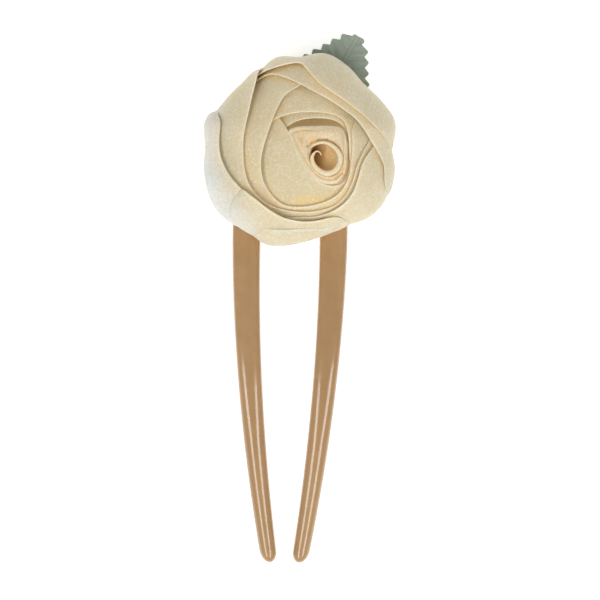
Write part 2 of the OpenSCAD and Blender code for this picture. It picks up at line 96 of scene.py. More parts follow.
# Petal rims, counter-clockwise: place in plan from the rose centre, depth at the rim and at the bulge;
# then the angles at which the petal starts and ends under the rose
RIMS = {
    "inner_left_petal": (
        [[-6.5, 9.5, 4.9, 4.9], [-4.6, 6.2, 5, 5], [-2.9, 3.6, 5.1, 5.1], [-1.6, 1, 5.2, 5],
         [-0.6, -1.4, 5.3, 4.9], [0.9, -4.2, 5.4, 4.9], [2.9, -7.2, 5.4, 4.9], [5.4, -9.2, 5.4, 4.9],
         [8.2, -9.9, 5.4, 4.9], [10.6, -9.2, 5.5, 5.1], [12.1, -6.8, 5.9, 5.9], [12.6, -3.5, 6.1, 6.1],
         [13.6, 0.5, 6.2, 6.2]], 140, 350),
    "inner_top_petal": (
        [[13.5, -7, 7, 7], [12.5, -3.5, 7, 7], [12.3, 0, 6.8, 6.8], [11.8, 3, 6.3, 6.3],
         [10.4, 5.6, 5.7, 5.7], [7.5, 6.9, 5.4, 5.4], [3, 7, 5.4, 5.4], [-0.6, 6.4, 5.7, 5.7],
         [-3.2, 5, 6.2, 6.2], [-5, 2.8, 6.6, 6.6]], 340, 145),
    "middle_top_petal": (
        [[14, -8.5, 5, 5], [12.7, -4.5, 5, 5], [12.4, -1, 5, 5], [12.2, 2.2, 4.9, 4.9], [11.6, 5, 4.8, 4.8],
         [10.2, 7.2, 4.6, 4.6], [7, 8.4, 4, 4], [3, 8.7, 3.6, 3.6], [-1, 8.5, 3.6, 3.6],
         [-4.5, 7.8, 3.8, 3.8], [-7.2, 6.4, 4.1, 4.1], [-9.5, 4, 4.3, 4.3]], 335, 150),
    "middle_left_petal": (
        [[5.5, 17.5, 2.05, 1.85], [2.2, 16.6, 2.05, 1.85], [0, 15.3, 2.05, 1.85], [-3.8, 12.8, 2.1, 1.85],
         [-6.3, 8.4, 2.5, 2], [-8.3, 3.4, 2.8, 2.2], [-9.5, -1.5, 3.2, 2.6], [-9.5, -6.5, 3.6, 3.1],
         [-8.3, -10.6, 4, 3.6], [-5.5, -13.9, 4.2, 3.9], [-2, -15.1, 4.3, 4], [2.5, -14.9, 4.3, 4.1],
         [6.8, -13.6, 4.3, 4.1], [10, -11.4, 4.3, 4.1], [12.1, -8, 4.2, 4.1], [12.9, -3.8, 4.1, 4.1],
         [13.2, 0.5, 4, 4], [13.1, 4, 4, 4], [14, 7.5, 4, 4]], 80, 25),
    "long_left_petal": (
        [[-9.9, 20.8, 0.1, -0.4], [-10.4, 18.4, 0.15, -0.35], [-10.9, 15.6, 0.4, 0],
         [-12.3, 11.2, 0.7, 0.25], [-13.5, 6.6, 1.1, 0.4], [-14.3, 1.6, 1.5, 0.5], [-14.3, -3.4, 2, 0.65],
         [-13.3, -7.8, 2.4, 0.95], [-11, -11.7, 2.8, 1.7], [-7.8, -14.6, 3.1, 2.4], [-4, -16, 3.4, 2.7],
         [0.5, -16.4, 3.5, 2.8], [5, -16, 3.5, 2.9], [8.6, -14.8, 3.5, 3], [11.2, -12.4, 3.4, 3],
         [13, -9, 3.2, 3], [14.3, -5, 3, 3], [15.8, -1.5, 3, 3], [18, 2.5, 3, 3]], 118, 2),
    "right_petal": (
        [[-4, -18.2, 2.3, 1.9], [0, -17.9, 2.6, 1.9], [4, -17.7, 2.6, 1.8], [8, -16.2, 2.4, 1.5],
         [11.2, -14, 1.9, 1], [13.4, -11.2, 1.2, 0.6], [14.7, -7.8, 1.3, 0.55], [15.7, -4.4, 1.6, 0.9],
         [17.3, -1.6, 1.75, 1.2], [19.5, 1.5, 1.8, 1.35], [21.5, 6, 1.9, 1.5]], 258, 10),
    "long_right_petal": (
        [[22.4, -13.2, 0, 0], [21.4, -9, 0.1, 0], [21.2, -5, 0.3, 0.15], [19.8, -1.8, 0.7, 0.65],
         [17.9, 1.2, 0.9, 0.7], [16.2, 4.1, 0.9, 0.65], [14, 6.9, 0.9, 0.6], [11, 9.2, 0.9, 0.6],
         [7, 11.9, 1, 0.65], [3.2, 14.1, 1.1, 0.7], [0, 15.8, 1.2, 0.8], [-3.5, 17.2, 1.3, 0.95],
         [-6.8, 18, 1.38, 1.18], [-9.6, 17.4, 1.4, 1.22], [-13, 15.5, 1.4, 1.25]], 332, 124),
    "top_petal": (
        [[23.6, -1, 0.1, 0], [22, 1.5, 0.1, 0], [19.2, 4.8, 0.1, 0], [15.6, 8.2, 0.1, 0],
         [11.6, 11.2, 0.1, 0], [8, 13.6, 0.15, 0], [4.8, 16.1, 0.2, 0], [2.2, 18.9, 0.3, 0],
         [0, 20.8, 0.35, -0.05], [-4, 20.3, 0.45, -0.2], [-7.5, 19.4, 0.6, -0.2], [-10, 18.3, 0.8, 0.2],
         [-12.5, 17.2, 0.88, 0.55]], 0, 120),
    "outer_left_petal": (
        [[-21.8, 9.5, -0.1, -0.2], [-20.7, 6.5, -0.1, -0.2], [-20.8, 2, -0.05, -0.2],
         [-20.5, -3, 0.05, -0.15], [-18.9, -6.8, 0.2, 0], [-16.2, -9.8, 0.6, 0.1], [-13.8, -12, 0.9, 0.25],
         [-12, -15, 1.1, 0.5], [-10.5, -18.5, 1.2, 0.85], [-9, -22.5, 1.3, 1]], 160, 245),
    "lower_petal": (
        [[-16.4, -11.6, 0, 0.3], [-14.6, -11.1, 0, 0.3], [-11.3, -13.1, 0.1, 0.32], [-8, -15.9, 0.25, 0.35],
         [-4.5, -17.9, 0.6, 0.38], [0, -18.7, 0.9, 0.42], [4, -18.6, 1, 0.42], [8, -18, 1, 0.45],
         [10.8, -18.6, 0.9, 0.45], [12.6, -20.6, 0.5, 0.4]], 262, 302),
    "bottom_petal": (
        [[-13, -20.6, -0.5, -0.5], [-10, -21.2, -0.42, -0.42], [-5, -21.4, -0.3, -0.3],
         [0, -21.3, -0.22, -0.22], [4, -21.3, -0.15, -0.15], [7.5, -21, -0.1, -0.1],
         [9.5, -20.8, -0.05, -0.05]], 240, 292),
}

# ---------------------------------------------------------------- curves and grids


def catmull(a, b, c, e, t):
    """Catmull-Rom curve from b to c: half of 2b + (c-a)t + (2a-5b+4c-e)t2 + (3b-a-3c+e)t3."""
    return 0.5 * (2 * b + (c - a) * t + (2 * a - 5 * b + 4 * c - e) * t**2 + (3 * b - a - 3 * c + e) * t**3)


def spline(points, u):
    """Catmull-Rom curve through points, u from 0 at the first to 1 at the last."""
    points = np.asarray(points, float)
    n = len(points) - 1
    k = np.clip(np.asarray(u, float) * n, 0, n)
    s = np.minimum(k.astype(int), n - 1)
    t = (k - s)[..., None]
    a, b = points[np.maximum(s - 1, 0)], points[s]
    c, e = points[s + 1], points[np.minimum(s + 2, n)]
    return catmull(a, b, c, e, t)


def loop_spline(points, u):
    """The same curve through a closed ring of points, u from 0 to 1 once round."""
    points = np.asarray(points, float)
    n = len(points)
    k = (np.asarray(u, float) % 1.0) * n
    s = k.astype(int) % n
    t = (k - np.floor(k))[..., None]
    return catmull(*(points[(s + i) % n] for i in (-1, 0, 1, 2)), t)


def mix(a, b, t):
    """a at t = 0, b at t = 1."""
    return a + (b - a) * t


def smooth(x, low, high):
    """0 below low, 1 above high, 3t2 - 2t3 between."""
    t = np.clip((x - low) / (high - low), 0, 1)
    return t * t * (3 - 2 * t)


def unit(v):
    """Vectors at length 1."""
    return v / np.maximum(np.linalg.norm(v, axis=-1, keepdims=True), 1e-9)


def lengths(points, axis):
    """Distance run along one axis of a grid of points, from 0."""
    step = np.linalg.norm(np.diff(points, axis=axis), axis=-1)
    start = np.zeros_like(np.take(step, [0], axis=axis))
    return np.concatenate([start, np.cumsum(step, axis=axis)], axis=axis)


def segment_distance(points, start, end):
    """Distance in plan from points to the stretch between two places."""
    start, way = np.asarray(start, float), np.subtract(end, start)
    share = ((points - start) @ way / (way @ way)).clip(0, 1)
    return np.linalg.norm(points - start - share[..., None] * way, axis=-1)


def normals(points):
    """Unit normals of a grid of points: the cross product of its two directions."""
    return unit(np.cross(np.gradient(points, axis=0), np.gradient(points, axis=1)))


def grid_quads(rows, cols, close_rows=False, close_cols=False):
    """Quads between the points of a grid, its last row or column joined to the first where it is closed."""
    i, j = np.arange(rows - (not close_rows))[:, None], np.arange(cols - (not close_cols))[None]
    below, right = (i + 1) % rows, (j + 1) % cols
    corners = (i * cols + j, i * cols + right, below * cols + right, below * cols + j)
    return np.stack(corners, -1).reshape(-1, 4)


def tube_quads(rings, count):
    """Quads of a tube of rings, each of an even count of points, closed by strips across its two ends."""
    near = np.arange(count // 2 - 1)
    far = count - 1 - near
    strip = np.stack([near, near + 1, far - 1, far], -1)
    sides = grid_quads(rings, count, close_cols=True)
    return np.concatenate([sides, strip[:, ::-1], strip + (rings - 1) * count])


def flat_ends(rings, hub, shares):
    """Rings of points with flat ends: smaller copies of the first and the last ring about a hub."""
    start = [hub + (rings[0] - hub) * [q, q, 1] for q in shares]
    end = [hub + (rings[-1] - hub) * [q, q, 1] for q in reversed(shares)]
    return np.stack([*start, *rings, *end])


def outline_r(angle):
    """Radius of the rose outline at an angle in degrees."""
    return loop_spline(OUTLINE[:, None], np.asarray(angle) / 360.0)[..., 0]


def layer_centre(depth):
    """Centre in plan of the layer at a depth."""
    return np.asarray(depth)[..., None] * LAYER_SHIFT


def layer_r(angle, depth):
    """Radius of the layer at a depth: the outline's, shrunk in step."""
    return outline_r(angle) * (DOME_R - depth) / DOME_R


def layer_point(angle, height, depth):
    """Point on the layer at a depth: reach = cos(height)^k in plan and sin(height)^k up, k = 2 / DOME_POWER.

    Height 90 is the crown and 0 the bulge. Below 0 the surface runs in under the rose to a ring.
    """
    r, k = layer_r(angle, depth), 2 / DOME_POWER
    bulge = BULGE_Z + BULGE_RISE * depth
    rise = CROWN_Z - CROWN_DROP * depth - bulge
    fall = bulge - UNDER_Z - UNDER_RISE * depth
    h, a = np.radians(height), np.radians(angle)
    reach = np.cos(h) ** k
    climb = np.abs(np.sin(h)) ** k
    under = height < 0
    rho = np.where(under, mix(UNDER_R - depth, r, reach), r * reach)
    z = np.where(under, bulge - fall * climb, bulge + rise * climb)
    centre = layer_centre(depth)
    return np.stack([centre[..., 0] + rho * np.cos(a), centre[..., 1] + rho * np.sin(a), z], -1)


def rim_place(rim):
    """Angle and height angle, in degrees, of rim points [x, y, depth] about their layer's own centre."""
    away = rim[..., :2] - layer_centre(rim[..., 2])
    angle = np.degrees(np.arctan2(away[..., 1], away[..., 0]))
    share = np.minimum(np.linalg.norm(away, axis=-1) / layer_r(angle, rim[..., 2]), 1)
    return angle, np.degrees(np.arccos(share ** (DOME_POWER / 2)))


def on_rose(points):
    """Points of the rose turned by ROSE_TURN about its centre and moved to their place on the fork."""
    c, t = math.cos(ROSE_TURN), math.sin(ROSE_TURN)
    return points @ np.array([[c, t, 0], [-t, c, 0], [0, 0, 1]]) + [ROSE_X, 0, 0]


def unwrapped(angle, start):
    """The same angle within a turn on from start."""
    return start + (angle - start) % 360.0


# ---------------------------------------------------------------- meshes


def volume(points, quads):
    """Signed volume of a closed shell: a sixth of the sum of the triple products of its triangles."""
    a, b, c, d = (points[quads[:, k]] for k in range(4))
    return (np.einsum("ij,ij->", a, np.cross(b, c)) + np.einsum("ij,ij->", a, np.cross(c, d))) / 6


def shell(points, quads, **fields):
    """One closed shell with its faces turned outwards, and the fields that its material reads."""
    points = points.reshape(-1, 3)
    quads = quads if volume(points, quads) > 0 else quads[:, ::-1]
    return points, quads, fields


def make_piece(name, shells, finish, *nodes, body=ROOT):
    """Mesh object of one or more closed shells in millimetres, smooth, with its fields as point attributes.

    It has one finish, stands for the nodes, and rides on the body unless that is None.
    """
    start, points, quads, fields = 0, [], [], {}
    for shell_points, shell_quads, shell_fields in shells:
        points.append(shell_points)
        quads.append(shell_quads + start)
        start += len(shell_points)
        for key, value in shell_fields.items():
            fields.setdefault(key, []).append(value)
    points, quads = np.concatenate(points), np.concatenate(quads)
    mesh = bpy.data.meshes.new(name)
    mesh.from_pydata((points * MM).tolist(), [], quads.tolist())
    mesh.polygons.foreach_set("use_smooth", np.ones(len(quads), bool))
    for key, values in fields.items():
        values = [np.asarray(v, float).reshape(len(part[0]), -1) for v, part in zip(values, shells)]
        values = np.concatenate(values)
        if key == "cloth":
            layer = mesh.uv_layers.new(name="cloth")
            layer.data.foreach_set("uv", values[quads.ravel()].astype(np.float32).ravel())
        else:
            layer = mesh.attributes.new(key, "FLOAT", "POINT")
            layer.data.foreach_set("value", values[:, 0].astype(np.float32))
    mesh.materials.append(finish_material(finish))
    mesh.validate()
    obj = bpy.data.objects.new(name, mesh)
    bpy.context.scene.collection.objects.link(obj)
    if body:
        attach(obj, body)
    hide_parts(*nodes)
    return obj


def thick_sheet(middle, thickness, fold_rows=8):
    """Closed profile round each column of a sheet: outer face, round fold at row 0, inner face.

    middle is a grid of points, thickness a grid of the same shape. The fold is a half circle of the
    thickness there, past the first point and across the normal. Returns the points and the row of the
    sheet that each profile place belongs to.
    """
    n = normals(middle)
    half = thickness[..., None] / 2
    rows = middle.shape[1]
    outer, inner = middle + n * half, middle - n * half
    past = unit(middle[:, 0] - middle[:, 1])[:, None]
    turn = np.linspace(0, math.pi, fold_rows + 2)[1:-1][None, :, None]
    arc = middle[:, :1] + past * half[:, :1] * np.sin(turn) + n[:, :1] * half[:, :1] * np.cos(turn)
    places = np.concatenate([np.arange(rows)[::-1], np.zeros(fold_rows, int), np.arange(rows)])
    return np.concatenate([outer[:, ::-1], arc, inner], axis=1), places


# ---------------------------------------------------------------- materials


class Nodes:
    """A material's node tree, with short calls for the nodes it is made of."""

    def __init__(self, name):
        self.material = bpy.data.materials.new(name)
        self.material.use_nodes = True
        self.tree = self.material.node_tree
        self.shader = self.tree.nodes["Principled BSDF"]
        self.place = self.node("ShaderNodeTexCoord").outputs["Object"]

    def node(self, kind, inputs=None, **settings):
        made = self.tree.nodes.new(kind)
        for key, value in settings.items():
            setattr(made, key, value)
        for key, value in (inputs or {}).items():
            socket = made.inputs[key]
            if isinstance(value, bpy.types.NodeSocket):
                self.tree.links.new(value, socket)
            else:
                socket.default_value = value
        return made

    def set(self, **values):
        """Shader inputs by name, with underscores for spaces: numbers and colours stay on the socket."""
        for key, value in values.items():
            socket = self.shader.inputs[key.replace("_", " ")]
            if isinstance(value, bpy.types.NodeSocket):
                self.tree.links.new(value, socket)
            else:
                socket.default_value = value

    def attribute(self, name):
        return self.node("ShaderNodeAttribute", attribute_name=name).outputs["Fac"]

    def noise(self, scale, detail=2.0, rough=0.5, stretch=None):
        vector = self.place
        if stretch:
            vector = self.node("ShaderNodeMapping", {"Vector": vector, "Scale": stretch}).outputs[0]
        inputs = {"Vector": vector, "Scale": scale, "Detail": detail, "Roughness": rough}
        return self.node("ShaderNodeTexNoise", inputs).outputs["Fac"]

    def bands(self, direction):
        """Waves along the cloth's own coordinates."""
        cloth = self.node("ShaderNodeUVMap", uv_map="cloth").outputs[0]
        return self.node("ShaderNodeTexWave", {"Vector": cloth, "Scale": 1.0}, wave_type="BANDS",
                         bands_direction=direction).outputs["Fac"]

    def cells(self, scale):
        """Distance to the nearest of scattered points."""
        inputs = {"Vector": self.place, "Scale": scale}
        return self.node("ShaderNodeTexVoronoi", inputs, feature="F1").outputs["Distance"]

    def part(self, value, share):
        return self.math("MULTIPLY", value, share)

    def curve(self, value, low, high, out_low=0.0, out_high=1.0):
        inputs = {"Value": value, "From Min": low, "From Max": high, "To Min": out_low, "To Max": out_high}
        return self.node("ShaderNodeMapRange", inputs, interpolation_type="SMOOTHSTEP").outputs[0]

    def math(self, operation, a, b=0.0):
        return self.node("ShaderNodeMath", {0: a, 1: b}, operation=operation).outputs[0]

    def blend(self, share, a, b, blend_type="MIX"):
        made = self.node("ShaderNodeMix", data_type="RGBA", blend_type=blend_type)
        for index, value in ((0, share), (6, a), (7, b)):
            if isinstance(value, bpy.types.NodeSocket):
                self.tree.links.new(value, made.inputs[index])
            else:
                made.inputs[index].default_value = value
        return made.outputs[2]

    def bump(self, height, distance, strength=1.0, after=None):
        inputs = {"Height": height, "Distance": distance, "Strength": strength}
        if after:
            inputs["Normal"] = after
        return self.node("ShaderNodeBump", inputs).outputs[0]


def colour(values):
    """Linear colour with full alpha."""
    return (*values, 1.0)


def organza(look):
    """Cream organza: painted golden shade deep in a fold, a painted highlight at a fold's edge, pale where
    it is a single sheet.

    Clouds, grain, painted glints of glitter, a painted dark shade in the bud's hollow, a painted glow in
    the folds and a weave lie over that.
    """
    m = Nodes("shimmer_organza")
    fold, dark = m.attribute("fold"), m.attribute("dark")
    body = m.blend(m.attribute("deep"), colour(look.outer), colour(look.inner))
    body = m.blend(m.attribute("pale"), body, colour(look.sheer))
    body = m.blend(m.part(m.curve(m.noise(170.0, 3.0), 0.3, 0.7), 0.2), body, colour(look.warm))
    # Painted shade: golden colour deep in the folds, beside the rims of outer sheets.
    body = m.blend(m.part(fold, 0.8), body, colour(look.fold))
    # Painted highlight: a fold's edge made lighter.
    body = m.blend(m.part(m.attribute("edge"), 0.7), body, colour(look.edge))
    grain = m.noise(1500.0, 3.0, 0.7)
    body = m.blend(m.part(m.curve(grain, 0.56, 0.36), 0.28), body, colour(look.warm))
    # Painted glints: the grain's light peaks in the glint tone.
    body = m.blend(m.part(m.curve(grain, 0.5, 0.68), 0.25), body, colour(look.glint))
    # Painted glints of the glitter, partly the cloth's own bright threads: scattered sparkle cells in the
    # glint tone, also a little glossier.
    chosen = m.curve(m.noise(300.0, 3.0), 0.42, 0.62)
    painted_sparkle = m.part(m.curve(m.cells(1500.0), 0.42, 0.16), chosen)
    body = m.blend(m.part(painted_sparkle, 0.6), body, colour(look.glint))
    # Painted shade: the darkest tone in the bud's hollow, down the roll's sides and on the wrap's shelf.
    body = m.blend(dark, body, colour(look.hollow))
    m.set(Base_Color=body, Roughness=m.curve(painted_sparkle, 0.0, 1.0, 0.6, 0.25))
    # Painted glow: emission in the folds, less where the darkest painted shade lies.
    painted_fold_glow = m.blend(m.math("SUBTRACT", fold, dark), colour((0.0, 0.0, 0.0)), colour(look.painted_fold_glow))
    m.set(Emission_Color=painted_fold_glow, Emission_Strength=1.0)
    m.set(Subsurface_Weight=0.5, Subsurface_Radius=(1.0, 0.7, 0.4), Subsurface_Scale=0.0012)
    weave = m.bump(m.math("ADD", m.bands("X"), m.bands("Y")), 0.00003, 0.35)
    m.set(Normal=m.bump(m.noise(330.0, 3.0), 0.0006, 0.4, m.bump(grain, 0.00025, 0.5, weave)))
    m.set(Sheen_Weight=0.3, Sheen_Roughness=0.35, Sheen_Tint=colour((1.0, 0.97, 0.9)))
    m.set(Specular_IOR_Level=0.45)
    return m.material


def fork_plastic(look):
    """Gloss tan plastic: faint flow streaks along the prongs, slightly uneven gloss and fine scratches."""
    m = Nodes("glossy_tan_plastic")
    flow = m.noise(60.0, 3.0, 0.5, stretch=(2.2, 0.12, 2.2))
    body = m.blend(m.curve(flow, 0.3, 0.7), colour(look.plastic), colour(look.plastic_light))
    mottle = m.curve(m.noise(260.0, 4.0), 0.35, 0.7)
    body = m.blend(m.part(mottle, 0.25), body, colour(look.plastic_deep))
    speck = m.curve(m.noise(1900.0, 2.0), 0.6, 0.75)
    body = m.blend(m.part(speck, 0.12), body, colour(look.plastic_light))
    wear = m.noise(340.0, 4.0, 0.6)
    m.set(Base_Color=body, Roughness=m.curve(wear, 0.25, 0.75, 0.12, 0.2))
    scratch = m.noise(900.0, 2.0, 0.5, stretch=(3.0, 0.1, 3.0))
    m.set(Normal=m.bump(m.noise(120.0, 2.0), 0.0004, 0.12, m.bump(scratch, 0.00002, 0.25)))
    m.set(Specular_IOR_Level=0.8, Coat_Weight=0.4, Coat_Roughness=0.1)
    return m.material


def felt(look):
    """Pressed felt: matted fibres in two tones."""
    m = Nodes("pressed_felt")
    fibre = m.noise(900.0, 6.0, 0.75)
    long_fibre = m.noise(500.0, 3.0, 0.6, stretch=(1.0, 5.0, 1.0))
    body = m.blend(m.curve(fibre, 0.3, 0.7), colour(look.felt), colour(look.felt_light))
    body = m.blend(m.part(m.curve(long_fibre, 0.55, 0.7), 0.35), body, colour(look.felt_dark))
    m.set(Base_Color=body, Roughness=0.95, Sheen_Weight=0.5, Sheen_Roughness=0.6)
    m.set(Normal=m.bump(fibre, 0.00035, 0.8, m.bump(m.noise(2600.0, 3.0), 0.0001, 0.6)))
    return m.material


def glue(look):
    """Milky hot-melt glue with flowing clouds and small bubbles."""
    m = Nodes("milky_melt")
    flow = m.noise(220.0, 3.0)
    body = m.blend(m.curve(flow, 0.3, 0.7), colour(look.glue), colour(look.glue_light))
    body = m.blend(m.part(m.curve(m.cells(900.0), 0.14, 0.06), 0.4), body, colour(look.bubble))
    m.set(Base_Color=body, Roughness=m.curve(flow, 0.2, 0.8, 0.25, 0.45))
    m.set(Normal=m.bump(flow, 0.0006, 0.4))
    return m.material


def sewing_thread(look):
    """Twisted sewing thread: ply bands along the thread's own length, painted shade between the plies, and
    stray fibre noise.
    """
    m = Nodes("twisted_thread")
    ply = m.bands("DIAGONAL")
    # Painted shade in the grooves between the plies.
    body = m.blend(ply, colour(look.thread_groove_shade), colour(look.thread))
    fuzz = m.noise(4000.0, 3.0)
    m.set(Base_Color=body, Roughness=m.curve(fuzz, 0.2, 0.8, 0.55, 0.8), Sheen_Weight=0.3)
    m.set(Normal=m.bump(ply, 0.00006, 0.8))
    return m.material


def leaf_fabric(look):
    """Pressed satin leaf: grey-green with lighter fibres and painted shade in its vein grooves."""
    m = Nodes("pressed_satin_leaf")
    body = m.blend(m.attribute("tip"), colour(look.leaf_low), colour(look.leaf_tip))
    cloud = m.curve(m.noise(260.0, 4.0, 0.6), 0.3, 0.72)
    body = m.blend(m.part(cloud, 0.45), body, colour(look.leaf_light))
    fibre = m.curve(m.noise(1300.0, 4.0, 0.7, stretch=(1.0, 2.6, 1.0)), 0.4, 0.7)
    body = m.blend(m.part(fibre, 0.22), body, colour(look.leaf_light))
    # Painted shade in the vein grooves and in two lines beside the midrib.
    body = m.blend(m.part(m.attribute("vein"), 0.5), body, colour(look.leaf_vein_groove_shade))
    m.set(Base_Color=body, Roughness=m.curve(fibre, 0.0, 1.0, 0.6, 0.75))
    m.set(Sheen_Weight=0.3, Sheen_Roughness=0.4)
    m.set(Normal=m.bump(fibre, 0.0001, 0.5, m.bump(m.noise(300.0, 3.0), 0.0003, 0.3)))
    return m.material


FINISHES = {"organza": organza, "fork_plastic": fork_plastic, "felt": felt, "glue": glue,
            "thread": sewing_thread, "leaf_fabric": leaf_fabric}
MADE = {}


def finish_material(name):
    """The material of one finish, made once."""
    if name not in MADE:
        MADE[name] = FINISHES[name](bpy.context.scene.rose_fork_look)
    return MADE[name]


# ---------------------------------------------------------------- petals

# Character of each petal: rim lift, dip behind the rim, swell height, seed of its swells, the shares of its
# rim over which the rim grows out of the layer at the start and at the end, and how strong its rim's painted
# shade is
CHARACTER = {
    "inner_left_petal": (0.12, 0.25, 0.16, 1.3, 0.1, 0.1, 0.8),
    "inner_top_petal": (0.2, 0.1, 0.1, 2.1, 0.1, 0.1, 1.0),
    "middle_top_petal": (0.12, 0.12, 0.12, 0.4, 0.1, 0.1, 0.5),
    "middle_left_petal": (0.15, 0.2, 0.16, 3.7, 0.12, 0.1, 0.7),
    "long_left_petal": (0.15, 0.25, 0.2, 5.2, 0.05, 0.1, 0.7),
    "right_petal": (0.05, 0.2, 0.22, 0.9, 0.3, 0.5, 0.5),
    "long_right_petal": (0.12, 0.15, 0.14, 4.4, 0.35, 0.12, 0.7),
    "top_petal": (0.15, 0.25, 0.24, 2.8, 0.5, 0.12, 0.9),
    "outer_left_petal": (-0.4, 0.2, 0.26, 6.1, 0.4, 0.2, 0.3),
    "lower_petal": (0.05, 0.2, 0.2, 1.9, 0.25, 0.45, 0.5),
    "bottom_petal": (-0.8, 0.1, 0.2, 3.1, 0.1, 0.1, 0.1),
}

# How deep a petal's start and its end are tucked in, each with the share of its length that takes
PLAIN_TUCK = (0.5, 0.06, 0.5, 0.06)
TUCKS = {
    "top_petal": (0.5, 0.06, 0.0, 0.06),
    "long_right_petal": (0.5, 0.06, 0.0, 0.06),
    "middle_left_petal": (0.5, 0.06, 0.0, 0.06),
    "long_left_petal": (0.0, 0.06, 0.0, 0.06),
    "bottom_petal": (0.9, 0.3, 0.9, 0.3),
    "lower_petal": (0.6, 0.2, 0.7, 0.3),
}

# Reach of a rim's lift and of the dip behind it, and how far a rim sinks where it ends
LIFT_REACH, DIP_REACH, END_SINK = 1.2, 2.4, 0.4
GATHERS, GATHER_DEPTH = 34, 0.12

# Painted golden fold shadows that no rim casts: petal, a stretch in plan, width and share
PAINTED_FOLD_SHADOWS = [("inner_left_petal", (-1.0, -13.5), (5.5, -13.2), 1.2, 0.9),
          ("inner_left_petal", (3.3, -10.6), (7.5, -12.4), 0.5, 0.3),
          ("bottom_petal", (-14.0, -21.5), (-7.0, -22.5), 0.8, 0.25)]


def rim_window(name, u):
    """Share of its full lift that a petal's rim has: it grows in and dies away as CHARACTER says."""
    fade_start, fade_end = CHARACTER[name][4:6]
    return smooth(u, -0.02, fade_start) * smooth(1 - u, -0.02, fade_end)


def rim_samples(name, count=90):
    """Points along one petal's rim on its layer, with their depth and how strong the painted shade beside it
    is.
    """
    u = np.linspace(0, 1, count)
    rim = spline(RIMS[name][0], u)
    angle, height = rim_place(rim)
    return layer_point(angle, height, rim[:, 2]), rim[:, 2], rim_window(name, u) * CHARACTER[name][6]


def fold_shade(points, depth, name, width):
    """How deep in a fold points lie: exp of minus the distance to the nearest rim of a sheet outside them.

    Only rims at least 0.2 mm further out count, and 0.4 mm of distance is free, the gap between sheets.
    """
    flat, level = points.reshape(-1, 3), np.broadcast_to(depth, points.shape[:-1]).reshape(-1, 1)
    shade = np.zeros(len(flat))
    for other in RIMS:
        if other == name:
            continue
        rim, rim_depth, plain = rim_samples(other)
        for part in np.array_split(np.arange(len(flat)), 1 + len(flat) // 6000):
            away = np.linalg.norm(flat[part, None] - rim[None], axis=-1)
            over = np.clip((level[part] - rim_depth[None] - 0.2) / 0.5, 0, 1)
            near = over * plain * np.exp(-np.maximum(away - 0.4, 0) / width)
            shade[part] = np.maximum(shade[part], near.max(axis=1))
    return shade.reshape(points.shape[:-1])


def petal_surface(name, sheet, columns, rows):
    """Middle surface of a petal on a grid: u along its rim, v from the rim to the ring under the rose.

    Angle and height angle run straight from the rim to the ring. Depth goes from the rim's to the bulge's
    over the first SIDE_START of the way, less lift * e^(-s/LIFT_REACH) near the rim, s being the distance
    from it. Where the rim ends and slips under its neighbour the lift turns into END_SINK. Added are the
    tucks of its two ends, dip * (s/DIP_REACH) e^(1 - s/DIP_REACH) behind the rim, long swells, and gathers
    that grow towards the ring.
    """
    rim, base_start, base_end = RIMS[name]
    lift, dip, swell, seed = CHARACTER[name][:4]
    u, v = np.linspace(0, 1, columns), np.linspace(0, 1, rows) ** 1.5
    rim = spline(rim, u)
    angle, height = rim_place(rim)
    start = angle[0] - 20
    foot = mix(unwrapped(base_start, start), unwrapped(base_end, start), u)
    a = mix(unwrapped(angle, start)[:, None], foot[:, None], v)
    h = mix(height[:, None], UNDER_END, v)
    depth = mix(rim[:, 2:3], rim[:, 3:4], smooth(v, 0.0, SIDE_START)[None]) + sheet / 2
    plain = layer_point(a, h, depth)
    s = lengths(plain, 1)
    along = lengths(plain[:, :1], 0)
    window = rim_window(name, u)[:, None]
    start_tuck, start_reach, end_tuck, end_reach = TUCKS.get(name, PLAIN_TUCK)
    tuck = start_tuck * (1 - smooth(u, 0.0, start_reach)) + end_tuck * (1 - smooth(1 - u, 0.0, end_reach))
    open_part = 1 - smooth(v, 0.0, 0.75)[None]
    ripple = np.sin(along / 4.1 + seed) * np.sin(s / 5.3 + 2 * seed)
    ripple = ripple + 0.6 * np.sin(along / 2.3 - 2.2 * seed + s / 3.1)
    gather = GATHER_DEPTH * np.sin(np.radians(a) * GATHERS + seed) * smooth(v, 0.55, 1.0)[None]
    raised = lift * (1 + 0.25 * np.sin(along / 3.3 + seed)) * window - END_SINK * (1 - window)
    raised = raised * np.exp(-s / LIFT_REACH)
    sunk = dip * window * (s / DIP_REACH) * np.exp(1 - s / DIP_REACH)
    depth = depth - raised + sunk + tuck[:, None] + swell * window * open_part * ripple + gather
    return layer_point(a, h, depth), s, along, window, rim[:, 2:3]


def petal_fold_shade(name, middle, rim_depth, width):
    """Painted shade deep in the folds of a petal, with the painted golden fold shadows on it."""
    fold = fold_shade(middle, rim_depth, name, width)
    for owner, start, end, wide, share in PAINTED_FOLD_SHADOWS:
        if owner == name:
            spot = share * np.exp(-((segment_distance(middle[..., :2], start, end) / wide) ** 2))
            fold = np.maximum(fold, spot * (middle[..., 2] > BULGE_Z))
    return fold


